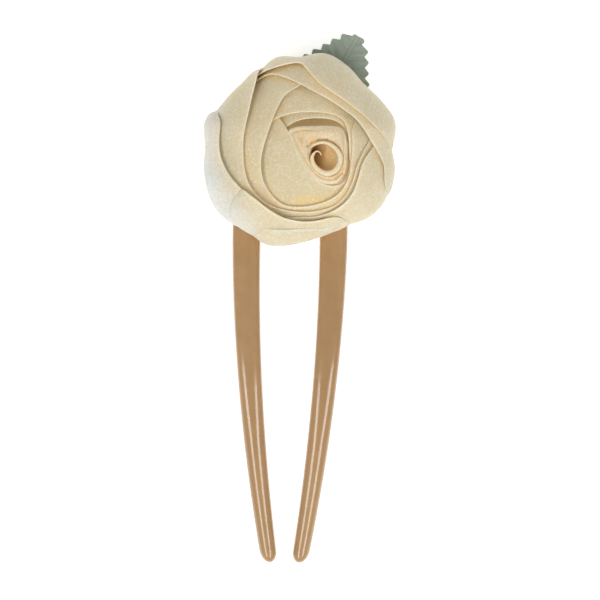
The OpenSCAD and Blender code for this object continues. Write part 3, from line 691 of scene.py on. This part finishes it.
def make_petal(name, shape):
    """A petal: a ribbon folded double, thicker at its folded rim and closed at its ends."""
    middle, s, along, window, rim_depth = petal_surface(name, shape.sheet, shape.columns, shape.rows)
    ends = 0.25 + 0.75 * np.sin(math.pi * np.linspace(0, 1, shape.columns))[:, None] ** 0.3
    puff = 1 + shape.rim_puff * window * np.exp(-s / 0.7)
    points, places = thick_sheet(middle, shape.sheet * ends * puff)
    full = np.ones(s.shape)
    # Painted light: fold is golden painted shade beside the rims of outer sheets, edge a painted highlight
    # along the petal's own rim.
    fields = {
        "fold": petal_fold_shade(name, middle, rim_depth, shape.fold_width),
        "edge": window * np.exp(-((s / 0.55) ** 2)),
        "deep": np.clip(rim_depth / 6.0, 0, 1) * full,
        "pale": pale_share(middle),
        "cloth": np.stack([along * full, s], -1) * shape.weave,
    }
    fields = {key: values[:, places] for key, values in fields.items()}
    part = shell(on_rose(points), tube_quads(*points.shape[:2]), **fields)
    petal = make_piece(name + "_sheet", [part], "organza", name)


def pale_share(points):
    """Share of the pale sheer tone: towards the outer left and lower left of the flower."""
    x, y = points[..., 0], points[..., 1]
    out = np.hypot(x, y)
    left = smooth(-x * 0.97 - y * 0.25, 12, 22)
    return left * smooth(out, 17, 24)


# ---------------------------------------------------------------- properties


def length_mm(name, description, default, low, high):
    """A length in millimetres."""
    return bpy.props.FloatProperty(name=name, description=description, default=default, min=low, max=high)


def tone(name, description, default):
    """A linear colour."""
    return bpy.props.FloatVectorProperty(name=name, description=description, default=default, size=3,
                                         subtype="COLOR", min=0.0, max=1.0)


def metres(name, description, default, low):
    """A length in metres."""
    return bpy.props.FloatProperty(name=name, description=description, default=default, min=low,
                                   unit="LENGTH")


def strength(name, description, default):
    """A light's strength."""
    return bpy.props.FloatProperty(name=name, description=description, default=default, min=0.0)


class RoseForkShape(bpy.types.PropertyGroup):
    """Sizes of the sheets, in millimetres, and how finely they are made."""

    sheet: length_mm("Sheet", "Thickness of the folded ribbon, in millimetres", 0.3, 0.2, 0.6)
    rim_puff: length_mm("Rim puff", "How much thicker the ribbon is at its fold", 0.08, 0.0, 2.0)
    fold_width: length_mm("Fold width", "How far a fold's warm shade reaches, in millimetres", 0.9, 0.3, 4.0)
    weave: length_mm("Weave", "Threads of the weave for each millimetre, over three", 1.0, 0.2, 3.0)
    columns: bpy.props.IntProperty(name="Columns", description="Points along a petal's rim",
                                   default=170, min=20)
    rows: bpy.props.IntProperty(name="Rows", description="Points from a petal's rim to its foot",
                                default=72, min=10)


class RoseForkLook(bpy.types.PropertyGroup):
    """Colours of the finishes, linear."""

    outer: tone("Outer organza", "Organza of the outer petals", (0.8, 0.68, 0.48))
    inner: tone("Inner organza", "Organza of the inner petals", (0.82, 0.67, 0.43))
    sheer: tone("Sheer organza", "Organza where a single sheet shows light through", (0.84, 0.82, 0.77))
    warm: tone("Warm organza", "Warm clouds in the organza", (0.72, 0.52, 0.27))
    # Painted light: golden shade deep in a fold, a glow in the folds, the darkest shade in the bud's hollow,
    # a highlight along fold edges and glints of glitter, partly the cloth's bright threads.
    fold: tone("Fold", "Deep in a fold", (0.72, 0.5, 0.22))
    painted_fold_glow: tone("Glow", "Light that comes through the cloth deep in a fold", (0.14, 0.09, 0.03))
    hollow: tone("Hollow", "Darkest place in the bud's hollow", (0.34, 0.14, 0.02))
    edge: tone("Edge", "Fold edge that catches the light", (0.92, 0.83, 0.63))
    glint: tone("Glint", "Glitter and bright threads", (0.95, 0.9, 0.78))
    plastic: tone("Plastic", "Moulded plastic", (0.4, 0.225, 0.085))
    plastic_light: tone("Plastic, light", "Lighter flow in the plastic", (0.46, 0.27, 0.115))
    plastic_deep: tone("Plastic, deep", "Deeper flow in the plastic", (0.33, 0.175, 0.06))
    felt: tone("Felt", "Felt", (0.72, 0.64, 0.52))
    felt_light: tone("Felt, light", "Light felt fibres", (0.82, 0.76, 0.66))
    felt_dark: tone("Felt, dark", "Dark felt fibres", (0.55, 0.47, 0.36))
    glue: tone("Glue", "Hot-melt glue", (0.72, 0.7, 0.64))
    glue_light: tone("Glue, light", "Light hot-melt glue", (0.82, 0.81, 0.77))
    bubble: tone("Bubble", "Bubbles in the glue", (0.95, 0.95, 0.94))
    thread: tone("Thread", "Sewing thread", (0.84, 0.8, 0.7))
    # Painted shade in the grooves between the plies.
    thread_groove_shade: tone("Thread, dark", "Between the plies", (0.55, 0.5, 0.4))
    leaf_low: tone("Leaf, low", "Leaf near the flower", (0.185, 0.225, 0.19))
    leaf_tip: tone("Leaf, tip", "Leaf near its tip", (0.3, 0.37, 0.3))
    leaf_light: tone("Leaf, light", "Light fibres of the leaf", (0.38, 0.44, 0.37))
    # Painted shade in the vein grooves.
    leaf_vein_groove_shade: tone("Leaf vein", "Grooves of the leaf's veins", (0.13, 0.165, 0.14))


class RoseForkStage(bpy.types.PropertyGroup):
    """Camera and lights."""

    across: metres("View", "Width that the camera sees", 0.15, 0.05)
    away: metres("Distance", "Height of the camera over the flower", 2.5, 0.5)
    down: metres("Down", "How far below the middle of the rose the view is centred", 0.03825, 0.0)
    turn: bpy.props.FloatProperty(name="Turn", description="Camera's turn about its own axis",
                                  default=math.radians(1.0), subtype="ANGLE")
    strip: strength("Side lights", "Radiance of the two strip lights", 4.4)
    sky: strength("Sky", "Strength of the even light all round", 0.5)


# ---------------------------------------------------------------- stage


def area_light(name, place, target, size_x, size_y, radiance):
    """Area light whose power in watts is radiance * pi * area."""
    light = bpy.data.lights.new(name, "AREA")
    light.shape, light.size, light.size_y = "RECTANGLE", size_x, size_y
    light.energy = radiance * math.pi * size_x * size_y
    obj = bpy.data.objects.new(name, light)
    obj.location = place
    obj.rotation_euler = (Vector(target) - Vector(place)).to_track_quat("-Z", "Y").to_euler()
    bpy.context.scene.collection.objects.link(obj)
    return obj


STRIP_ANGLE, STRIP_Y, STRIP_SIZE = math.radians(28), -0.65, (1.15, 0.3)


class MESH_OT_rose_fork_stage(bpy.types.Operator):
    """Camera straight over the object, a pale floor, an even sky and two strip lights"""

    bl_idname = "mesh.rose_fork_stage"
    bl_label = "Stage"

    def execute(self, context):
        scene, stage = context.scene, context.scene.rose_fork_stage
        cam = bpy.data.cameras.new("camera")
        cam.sensor_width = 36.0
        cam.lens = cam.sensor_width * stage.away / stage.across
        cam.clip_end = 20.0
        camera = bpy.data.objects.new("camera", cam)
        scene.collection.objects.link(camera)
        aside, below = stage.down * math.sin(stage.turn), stage.down * math.cos(stage.turn)
        camera.location = (ROSE_X * MM + aside, -below, BULGE_Z * MM + stage.away)
        camera.rotation_euler = (0, 0, stage.turn)
        scene.camera = camera

        world = bpy.data.worlds.new("studio")
        world.use_nodes = True
        back = world.node_tree.nodes["Background"]
        back.inputs["Color"].default_value = (1.0, 0.99, 0.975, 1.0)
        back.inputs["Strength"].default_value = stage.sky
        scene.world = world
        scene.view_settings.view_transform = "Standard"

        for side, name in ((-1, "left_strip"), (1, "right_strip")):
            x, z = side * math.sin(STRIP_ANGLE), math.cos(STRIP_ANGLE)
            area_light(name, (x, STRIP_Y, z), (0, STRIP_Y, 0), *STRIP_SIZE, stage.strip)

        floor = Nodes("floor")
        grain = floor.curve(floor.noise(40.0, 4.0), 0.3, 0.7)
        tint = floor.blend(grain, colour((0.9, 0.9, 0.9)), colour((0.93, 0.93, 0.93)))
        floor.set(Base_Color=tint, Roughness=0.9)
        floor.set(Emission_Color=colour((1.0, 1.0, 1.0)), Emission_Strength=0.5)
        clear = floor.node("ShaderNodeBsdfTransparent").outputs[0]
        under = floor.node("ShaderNodeNewGeometry").outputs["Backfacing"]
        both = floor.node("ShaderNodeMixShader", {0: under, 1: floor.shader.outputs[0], 2: clear}).outputs[0]
        floor.tree.links.new(both, floor.tree.nodes["Material Output"].inputs["Surface"])
        mesh = bpy.data.meshes.new("floor")
        half, low = 6.0, -0.0003
        mesh.from_pydata([(-half, -half, low), (half, -half, low), (half, half, low), (-half, half, low)], [],
                         [(0, 1, 2, 3)])
        mesh.materials.append(floor.material)
        plane = bpy.data.objects.new("floor", mesh)
        scene.collection.objects.link(plane)
        return {"FINISHED"}


# ---------------------------------------------------------------- petals operator


class MESH_OT_rose_fork_petals(bpy.types.Operator):
    """The eleven folded petals, from the bud outwards"""

    bl_idname = "mesh.rose_fork_petals"
    bl_label = "Petals"

    def execute(self, context):
        for name in RIMS:
            make_petal(name, context.scene.rose_fork_shape)
        return {"FINISHED"}


# ---------------------------------------------------------------- bud

WRAP = [[-2.8, 3.8], [-0.9, 4.8], [3, 5.1], [7.5, 5.1], [10.4, 4.4], [11.6, 1], [11.7, -3], [11.2, -6.4],
        [9.4, -8.9], [6.2, -9.2], [3.1, -7.6], [1.0, -4.8], [-0.8, -1.6], [-2.0, 1.3]]
ROLL_CENTRE = np.array([6.6, -2.8])
CORE_CENTRE = np.array([3.0, -0.8])
CORE_R, CORE_TOP, THREAD_R = 4.6, 10.2, 0.29

# Hollows of the wrap: a stretch in plan, its depth and its width
HOLLOWS = [
    [(0.2, 3.2), (0.3, 2.2), 0.6, 0.75], [(0.3, 2.2), (0.5, 1.0), 0.3, 0.45],
    [(1.9, 1.3), (3.6, 2.5), 0.55, 0.42], [(1.9, 0.1), (2.9, 1.0), 0.9, 0.3],
    [(2.9, 1.0), (4.7, 1.6), 0.9, 0.32], [(4.7, 1.6), (6.6, 1.6), 0.6, 0.3],
    [(11.1, 4.6), (11.0, -1.5), 0.3, 0.3], [(9.0, -7.9), (10.5, -6.6), 0.6, 0.3],
    [(10.5, -6.6), (11.2, -4.2), 0.6, 0.28]]

# The dimple is an ellipse; the top runs from its lip to the outline in this many rings
DIMPLE_R, DIMPLE_TURN, DIMPLE_RINGS, TOP_RINGS = (4.3, 3.6), math.radians(-58), 4, 46
ROLL_DROP, ROLL_COLUMNS, ARC = 4.6, 280, 20

# Middle line of the roll from the tongue in its hollow outwards: place in plan, height and half width
ROLL_LINE = [
    [5.3, -2.2, 20.6, 0.16], [4.9, -1.5, 21.2, 0.16], [4.2, -1.2, 21.7, 0.18], [3.5, -1.7, 22.0, 0.3],
    [3.0, -2.9, 22.2, 0.5], [3.4, -4.5, 22.3, 0.6], [4.8, -6.0, 22.3, 0.68], [6.7, -6.7, 22.3, 0.74],
    [8.6, -6.1, 22.3, 0.76], [9.8, -4.5, 22.3, 0.76], [10.0, -2.6, 22.3, 0.72], [9.2, -0.9, 22.2, 0.62],
    [7.7, 0.4, 22.0, 0.52], [6.0, 1.0, 21.8, 0.42], [4.4, 0.8, 21.5, 0.36], [3.2, 0.2, 21.1, 0.3],
    [2.5, -0.5, 20.6, 0.25]]


def puffy_band(line, drop, columns):
    """Rounded strip along a line of [x, y, z, half width]: a half oval on top, straight sides down by drop.

    Returns the points, the distance along the line and the height on the oval, from 0 to 1.
    """
    row = spline(line, np.linspace(0, 1, columns))
    along = lengths(row[:, None, :3], 0)
    step = np.gradient(row[:, :2], axis=0)
    side = unit(np.stack([step[:, 1], -step[:, 0]], -1))
    turn, wall = np.linspace(0, math.pi, ARC), np.ones(3)
    across = np.concatenate([wall, np.cos(turn), -wall])
    up = np.concatenate([[-1.0, -0.6, -0.2], np.zeros(ARC), [-0.2, -0.6, -1.0]])
    crown = np.concatenate([0 * wall, np.sin(turn), 0 * wall])
    half = row[:, 3:4]
    plan = row[:, None, :2] + side[:, None] * (half * across)[..., None]
    z = row[:, 2:3] + (crown - 1) * half * 0.9 + up * drop
    return np.concatenate([plan, z[..., None]], -1), along, crown


class MESH_OT_rose_fork_bud(bpy.types.Operator):
    """The rolled bud in the middle and the folded wrap round it"""

    bl_idname = "mesh.rose_fork_bud"
    bl_label = "Bud"

    def roll(self, shape):
        """Puffy spiral with its thin tongue in the hollow."""
        points, along, crown = puffy_band(ROLL_LINE, ROLL_DROP, ROLL_COLUMNS)
        full = np.ones(points.shape[:2])
        inside = (1 - smooth(along, 3.0, 7.0)) * full
        # Painted shade down the roll's sides and on its inner turns, darkest low on the sides; a painted
        # highlight along its crown.
        fields = {
            "fold": np.clip((1 - smooth(crown, 0.0, 0.75)) * full + 0.35 * inside, 0, 1),
            "dark": 0.5 * (1 - smooth(crown, 0.0, 0.3)) * full,
            "edge": smooth(crown, 0.6, 1.0) * full * 0.8,
            "deep": full,
            "pale": full * 0,
            "cloth": np.stack([along * full, crown * full], -1) * shape.weave,
        }
        part = shell(on_rose(points), tube_quads(*points.shape[:2]), **fields)
        make_piece("bud_roll_sheet", [part], "organza", "bud_roll")

    def wrap_rings(self):
        """Rings of the wrap from its dimple to its foot, its outline, and how wide its shelf is."""
        edge = loop_spline(WRAP, np.linspace(0, 1, 361)[:-1])
        away = edge - ROLL_CENTRE
        out = unit(away)
        foot = CORE_CENTRE + (CORE_R - 0.3) * out
        angle = np.arctan2(away[:, 1], away[:, 0])
        x, y = np.cos(angle - DIMPLE_TURN), np.sin(angle - DIMPLE_TURN)
        within = np.linalg.norm(away, axis=1) * 0.85
        lip = ROLL_CENTRE + out * np.minimum(1 / np.hypot(x / DIMPLE_R[0], y / DIMPLE_R[1]), within)[:, None]
        floor = ((0.02, 19.0), (0.4, 18.9), (0.8, 18.9), (1.0, 19.2))
        rings = [(mix(ROLL_CENTRE, lip, q), z) for q, z in floor]
        for k in np.linspace(0, 1, TOP_RINGS):
            z = 21.2 + 0.45 * math.sin(math.pi * k) - 0.35 * k**4 - 0.9 * (1 - k) ** 8
            rings.append((mix(lip, edge, k), z))
        shelf = smooth(angle, 0.1, 0.5) * (1 - smooth(angle, 2.35, 2.7))
        shelf = shelf + smooth(-angle, 0.0, 0.3) * (1 - smooth(-angle, 0.9, 1.4))
        for k, z in ((0.05, 20.4), (0.3, 19.4), (0.65, 19.0), (1.0, 18.5)):
            rings.append((edge + out * (k * (0.7 + 1.7 * shelf))[:, None], z))
        for k in np.linspace(0.1, 1, 12):
            shoulder = edge + out * (0.5 + 1.5 * shelf)[:, None]
            rings.append((mix(shoulder, foot, k**1.3), mix(18.0, CORE_TOP, k)))
        rings.append((mix(CORE_CENTRE, foot, 0.02), CORE_TOP))
        rings = np.stack([np.concatenate([plan, np.full((len(plan), 1), z)], 1) for plan, z in rings])
        return rings, edge, shelf

    def wrap(self, shape):
        """Pillow with a dimple for the roll.

        k runs from the dimple's lip to the outline. The top is 21.2 + 0.45 sin(pi k) - 0.35 k^4
        - 0.9 (1-k)^8, less a groove and hollows that fall off as e^-(distance/width)^2. Outside the
        outline a shelf runs out under the petals and then in to the foot, its cloth golden with painted
        shade.
        """
        rings, edge, shelf = self.wrap_rings()
        plan = rings[..., :2]
        inward = np.linalg.norm(edge - plan, axis=-1)
        low_side = smooth(-(plan[..., 0] - 2.0) - (plan[..., 1] + 1.0), -9.0, -3.0)
        row = np.arange(len(rings))[:, None]
        on_top = (row >= DIMPLE_RINGS) & (row < DIMPLE_RINGS + TOP_RINGS)
        sunk = np.exp(-(((inward - 1.1) / 0.28) ** 2)) * low_side * 0.45
        for start, end, deep, wide in HOLLOWS:
            sunk = sunk + deep * np.exp(-((segment_distance(plan, start, end) / wide) ** 2))
        sunk = sunk * on_top
        rings[..., 2] -= sunk
        rings[:DIMPLE_RINGS, :, 2] += 0.55 * (plan[:DIMPLE_RINGS, :, 0] - ROLL_CENTRE[0]) - 0.6
        outside = smooth(row, DIMPLE_RINGS + TOP_RINGS - 2, DIMPLE_RINGS + TOP_RINGS + 1)
        dimple = 1 - smooth(row, 3, 7)
        full = np.ones(inward.shape)
        # Painted shade in the groove, the hollows, the dimple and on the shelf under the petals, darkest in
        # the dimple towards its left; a painted highlight along the outline.
        fields = {
            "fold": np.clip(sunk * 0.8 + outside * 0.8 + dimple * 1.3, 0, 1),
            "dark": dimple * (0.15 + 0.8 * smooth(6.8 - plan[..., 0], 0.0, 3.2)) + 0.3 * outside * shelf,
            "edge": np.exp(-((inward / 0.5) ** 2)) * on_top,
            "deep": full * 0.6,
            "pale": full * 0,
            "cloth": plan * shape.weave,
        }
        part = shell(on_rose(rings), tube_quads(*rings.shape[:2]), **fields)
        make_piece("bud_wrap_fold", [part], "organza", "bud_wrap")

    def execute(self, context):
        self.roll(context.scene.rose_fork_shape)
        self.wrap(context.scene.rose_fork_shape)
        return {"FINISHED"}


# ---------------------------------------------------------------- core and thread


class MESH_OT_rose_fork_core(bpy.types.Operator):
    """The gathered and tied petal ends under the bud, and the thread round them"""

    bl_idname = "mesh.rose_fork_core"
    bl_label = "Gathered core and thread"

    def core(self):
        """Pleated waist of gathered ribbon: radius * waist(z) * (1 + 0.035 sin(26 angle))."""
        turn = np.linspace(0, 2 * math.pi, 181)[:-1]
        z = np.linspace(0, 1, 30)[:, None]
        waist = 1 - 0.07 * np.exp(-(((z - 0.34) / 0.16) ** 2))
        r = CORE_R * 0.97 * waist * (1 + 0.035 * np.sin(26 * turn) * (0.6 + 0.4 * np.cos(5 * z)))
        height = mix(ROSE_Z, CORE_TOP, z) + 0 * r
        side = np.stack([CORE_CENTRE[0] + r * np.cos(turn), CORE_CENTRE[1] + r * np.sin(turn), height], -1)
        rings = flat_ends(side, np.array([*CORE_CENTRE, 0.0]), (0.02, 0.5))
        full = np.ones(rings.shape[:2])
        # Painted golden shade over the whole core under the bud.
        fields = {"fold": full * 0.7, "edge": full * 0, "deep": full, "pale": full * 0,
                  "cloth": np.stack([turn * CORE_R * full, rings[..., 2]], -1)}
        part = shell(on_rose(rings), tube_quads(*rings.shape[:2]), **fields)
        make_piece("gathered_core_pleats", [part], "organza", "gathered_core")

    def thread(self):
        """Three closed rings of thread, one over the other, each waved a little."""
        a = np.linspace(0, 2 * math.pi, 121)[:-1][:, None]
        b = np.linspace(0, 2 * math.pi, 13)[:-1][None]
        full = np.ones((len(a), b.shape[1]))
        r = (CORE_R + 0.3 + THREAD_R * np.cos(b)) * full
        cloth = np.stack([a * 5.0 * full, b * 0.3 * full], -1) * 6.0
        shells = []
        for ring in range(3):
            z = ROSE_Z + 0.8 + 0.63 * ring + THREAD_R * np.sin(b) + 0.05 * np.sin(2 * a + ring)
            points = np.stack([CORE_CENTRE[0] + r * np.cos(a), CORE_CENTRE[1] + r * np.sin(a), z], -1)
            shells.append(shell(on_rose(points), grid_quads(*full.shape, True, True), cloth=cloth))
        make_piece("binding_thread_turns", shells, "thread", "binding_thread")

    def execute(self, context):
        self.core()
        self.thread()
        return {"FINISHED"}


# ---------------------------------------------------------------- backing


def disc(centre_z, thickness, radius, wobble, seed):
    """Felt disc: radius * (1 + wobble * sines of the angle), soft rim, faces lifted by small waves."""
    turn = np.linspace(0, 2 * math.pi, 241)[:-1]
    rim = 0.97 + 0.03 * np.sin(np.linspace(0.15, math.pi / 2, 6))
    share = np.concatenate([np.linspace(0.01, 0.97, 26), rim])[:, None]
    waves = np.sin(3 * turn + seed) + 0.6 * np.sin(7 * turn + 2 * seed) + 0.4 * np.sin(23 * turn)
    reach = radius * (1 + wobble * waves) * share
    fill = np.sqrt(np.maximum(1 - ((share - 0.97) / 0.03).clip(0, 1) ** 2, 0))
    x, y = reach * np.cos(turn), reach * np.sin(turn)
    wave = 0.03 * np.sin(x * 1.9 + seed) * np.sin(y * 2.3 - seed) * fill
    half = thickness / 2 * fill
    top = np.stack([x, y, centre_z + half + wave], -1)
    low = np.stack([x, y, np.maximum(centre_z - half - wave, centre_z - thickness / 2)], -1)
    points = np.concatenate([top, low[::-1]])
    return shell(points, tube_quads(*points.shape[:2]))


class MESH_OT_rose_fork_backing(bpy.types.Operator):
    """The two felt discs and the glue between them"""

    bl_idname = "mesh.rose_fork_backing"
    bl_label = "Backing"

    def felt_disc(self, node, low, high, wobble, seed):
        """A felt disc of the node's own size, lying on the glue."""
        thick, radius = high[2] - low[2], (high[0] - low[0]) / 2
        part = disc((low[2] + high[2]) / 2, thick, radius, wobble, seed)
        piece = make_piece(node + "_disc", [part], "felt", node)

    def melt(self):
        """Bead of glue: a squat, uneven column with a waist."""
        low, high = node_box("glue_core")
        turn = np.linspace(0, 2 * math.pi, 121)[:-1]
        z = np.linspace(0, 1, 16)[:, None]
        uneven = 1 + 0.04 * np.sin(5 * turn + 4 * z) + 0.03 * np.sin(9 * turn) - 0.1 * np.sin(math.pi * z)
        r = (high[0] - low[0]) / 2 * uneven
        cx, cy = (low[0] + high[0]) / 2, (low[1] + high[1]) / 2
        side = np.stack([cx + r * np.cos(turn), cy + r * np.sin(turn), mix(low[2], high[2], z) + 0 * r], -1)
        rings = flat_ends(side, np.array([cx, cy, 0.0]), (0.02,))
        make_piece("glue_core_melt", [shell(rings, tube_quads(*rings.shape[:2]))], "glue", "glue_core")

    def execute(self, context):
        self.felt_disc("felt_back", BACK_LOW, BACK_HIGH, 0.004, 0.7)
        self.felt_disc("felt_base", BASE_LOW, BASE_HIGH, 0.003, 2.9)
        self.melt()
        return {"FINISHED"}


# ---------------------------------------------------------------- fork

FORK_HALF, PRONG_W, FORK_T = PRONG_HIGH[0], 6.95, 3.8
PRONG_X = FORK_HALF - PRONG_W / 2
FORK_Z = BACK_HIGH[2]
REACH, TIP_W, TIP_T, TIP_LEAN, BOW_H = -PRONG_LOW[1], 3.95, 3.5, 7.2, 4.0
ARCH_DROP, BOW_START, TAPER_START, TIP_ROUND = 8.0, 12.0, 22.0, 3.0


def fork_half(side):
    """Half of the fork, from the top of its arch to one tip, as rings of a flat oval.

    Round the arch the ring turns with the path, radius PRONG_X about (0, -ARCH_DROP). Down the prong, with
    k the share of the way from TAPER_START to the tip: x = PRONG_X - TIP_LEAN k^1.9, width and thickness
    mix from root to tip, and z follows the bow, BOW_H sin^2. The ring is |x/w|^n + |z/t|^n = 1 with n from
    3.4 to 2, and closes over the last TIP_ROUND as a quarter circle.
    """
    arch, turn = np.linspace(90, 0, 40), np.linspace(0, 2 * math.pi, 57)[:-1]
    tip = REACH - TIP_ROUND
    round_off = tip + TIP_ROUND * np.sin(np.linspace(0.06, 1.56, 14))
    drop = np.concatenate([np.linspace(ARCH_DROP, tip, 190)[1:], round_off])
    level, full = np.zeros(len(arch)), np.ones(len(arch))
    k = np.concatenate([level, np.clip((drop - TAPER_START) / (REACH - TAPER_START), 0, 1)])
    bow = np.concatenate([level, np.clip((drop - BOW_START) / (REACH - BOW_START), 0, 1)])
    rounded = np.sqrt(np.maximum(1 - ((drop - tip) / TIP_ROUND).clip(0, 1) ** 2, 0.0004))
    close = np.concatenate([full, rounded])
    power = mix(3.4, 2.0, np.minimum(1, 1.6 * k))[:, None]
    width = (mix(PRONG_W, TIP_W, k**1.25) * close)[:, None]
    thick = (mix(FORK_T, TIP_T, k) * close)[:, None]
    across = width / 2 * np.sign(np.cos(turn)) * np.abs(np.cos(turn)) ** (2 / power)
    up = thick / 2 * np.sign(np.sin(turn)) * np.abs(np.sin(turn)) ** (2 / power)
    seam = 0.04 * np.exp(-((np.sin(turn) / 0.12) ** 2)) * np.sign(np.cos(turn))
    across = across + seam * close[:, None]
    a = np.radians(arch)
    x = np.concatenate([PRONG_X * np.cos(a), PRONG_X - TIP_LEAN * k[len(arch):] ** 1.9])[:, None]
    y = np.concatenate([PRONG_X * np.sin(a) - ARCH_DROP, -drop])[:, None]
    z = (mix(FORK_Z + FORK_T / 2, TIP_T / 2, bow) + BOW_H * np.sin(math.pi * bow) ** 2)[:, None]
    cos_a = np.concatenate([np.cos(a), np.ones(len(drop))])[:, None]
    sin_a = np.concatenate([np.sin(a), np.zeros(len(drop))])[:, None]
    rings = np.stack([x + across * cos_a, y + across * sin_a, z + up], -1)
    hub_start, hub_end = rings[0].mean(axis=0), rings[-1].mean(axis=0)
    start = [mix(hub_start, rings[0], q) for q in (0.02, 0.5)]
    return np.stack([*start, *rings, mix(hub_end, rings[-1], 0.05)]) * [side, 1, 1]


class MESH_OT_rose_fork_fork(bpy.types.Operator):
    """The moulded fork as two halves, each bending from the bridge into its prong"""

    bl_idname = "mesh.rose_fork_fork"
    bl_label = "Fork"

    def execute(self, context):
        halves = ((-1, "left", ("left_prong", "fork_bridge")), (1, "right", ("right_prong",)))
        for side, name, nodes in halves:
            rings = fork_half(side)
            part = shell(rings, tube_quads(*rings.shape[:2]))
            piece = make_piece(name + "_fork_half", [part], "fork_plastic", *nodes, body=None)
            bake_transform(piece)
        return {"FINISHED"}


# ---------------------------------------------------------------- leaf

LEAF_TIP, LEAF_HEADING, LEAF_LEN, LEAF_T = np.array([14.6, 27.9]), math.radians(60.0), 23.0, 0.4
LEAF_HALF = np.array([0.9, 3.5, 5.4, 7.1, 9.0, 10.0, 9.4, 7.2, 4.0])
LEAF_END, TEETH, TOOTH_LEAD, VEIN_SLANT = 0.93, 10, 0.4, 0.62


def leaf_half_width(s):
    """Half width at a share s back from the tip, along a curve through LEAF_HALF."""
    return spline(LEAF_HALF[:, None], np.clip(s, 0.0, LEAF_END))[..., 0]


class MESH_OT_rose_fork_leaf(bpy.types.Operator):
    """The pressed, toothed leaf under the rose"""

    bl_idname = "mesh.rose_fork_leaf"
    bl_label = "Leaf"

    def toothed_width(self, s, v):
        """Half width with its teeth: each climbs from its low width to the next and bulges a little."""
        phase = (s * TEETH + TOOTH_LEAD + 0.3 * (v > 0)) % 1.0
        low, high = leaf_half_width(s - phase / TEETH), leaf_half_width(s + (1 - phase) / TEETH)
        toothed = mix(low, high, smooth(phase, 0.0, 0.4)) + 0.3 * np.sin(math.pi * phase) - 0.15
        return toothed * smooth(s, -0.02, 0.03) ** 0.5

    def surface(self):
        """Middle surface of the leaf, s back from its tip and v across, and the shade of its veins."""
        s, v = np.linspace(0.004, LEAF_END, 300)[:, None], np.linspace(-1, 1, 61)[None]
        width = self.toothed_width(s, v) * v
        ax, ay = math.cos(LEAF_HEADING), math.sin(LEAF_HEADING)
        back = s * LEAF_LEN + 0 * v
        x, y = LEAF_TIP[0] - back * ax - width * ay, LEAF_TIP[1] - back * ay + width * ax
        lateral = np.abs(width)
        midrib = np.exp(-((lateral / 0.35) ** 2))
        phase = ((back + VEIN_SLANT * lateral) / (LEAF_LEN / TEETH) + 0.3) % 1.0
        inside = smooth(lateral, 0.2, 1.0) * (1 - smooth(np.abs(v), 0.8, 1.0))
        vein = 0.5 * np.exp(-(((phase - 0.5) / 0.12) ** 2)) * inside
        pillow = 0.25 * np.sin(math.pi * phase) ** 2 * smooth(lateral, 0.3, 1.6)
        z = ROSE_Z + 0.15 + 2 * (1 - s) ** 2 + 0.6 * lateral / LEAF_HALF.max() + pillow
        z = z - 0.22 * vein + 0.15 * midrib + 0.25 * np.sin(back / 2.6 + 2.2 * v)
        shade = np.maximum(vein, 0.6 * np.exp(-(((lateral - 0.45) / 0.25) ** 2)))
        return on_rose(np.stack([x, y, z + LEAF_T / 2], -1)), s, v, shade

    def execute(self, context):
        middle, s, v, vein = self.surface()
        n = normals(middle)
        thin = n * np.sign(n[..., 2:3]) * LEAF_T / 2 * (1 - 0.6 * np.abs(v)[..., None] ** 8)
        points = np.concatenate([middle + thin, (middle - thin)[:, ::-1]], 1)
        # vein carries the painted shade of the vein grooves and beside the midrib.
        fields = {"vein": vein, "tip": 1 - smooth(s, 0.05, 0.7) + 0 * v}
        fields = {key: np.concatenate([values, values[:, ::-1]], 1) for key, values in fields.items()}
        part = shell(points, tube_quads(*points.shape[:2]), **fields)
        leaf = make_piece("leaf_blade", [part], "leaf_fabric", "leaf")
        return {"FINISHED"}


# ---------------------------------------------------------------- panel and registration

STEPS = (MESH_OT_rose_fork_stage, MESH_OT_rose_fork_fork, MESH_OT_rose_fork_backing, MESH_OT_rose_fork_core,
         MESH_OT_rose_fork_bud, MESH_OT_rose_fork_petals, MESH_OT_rose_fork_leaf)


class VIEW3D_PT_rose_fork(bpy.types.Panel):
    """Buttons for every piece, and the properties"""

    bl_label = "Rose Hair Fork"
    bl_idname = "VIEW3D_PT_rose_fork"
    bl_space_type = "VIEW_3D"
    bl_region_type = "UI"
    bl_category = "Hair Fork"

    def draw(self, context):
        for step in STEPS:
            self.layout.operator(step.bl_idname)
        for group in (getattr(context.scene, key) for key in GROUPS):
            box = self.layout.box()
            for key in group.bl_rna.properties.keys():
                if key not in ("name", "rna_type"):
                    box.prop(group, key)


GROUPS = {"rose_fork_shape": RoseForkShape, "rose_fork_look": RoseForkLook, "rose_fork_stage": RoseForkStage}


def register():
    for cls in (*GROUPS.values(), *STEPS, VIEW3D_PT_rose_fork):
        bpy.utils.register_class(cls)
    for key, cls in GROUPS.items():
        setattr(bpy.types.Scene, key, bpy.props.PointerProperty(type=cls))


def unregister():
    for key in GROUPS:
        delattr(bpy.types.Scene, key)
    for cls in (VIEW3D_PT_rose_fork, *reversed(STEPS), *reversed(GROUPS.values())):
        bpy.utils.unregister_class(cls)


def main():
    register()
    bpy.ops.mesh.rose_fork_stage()
    bpy.ops.mesh.rose_fork_fork()
    bpy.ops.mesh.rose_fork_backing()
    bpy.ops.mesh.rose_fork_core()
    bpy.ops.mesh.rose_fork_bud()
    bpy.ops.mesh.rose_fork_petals()
    bpy.ops.mesh.rose_fork_leaf()


if __name__ == "__main__":
    main()
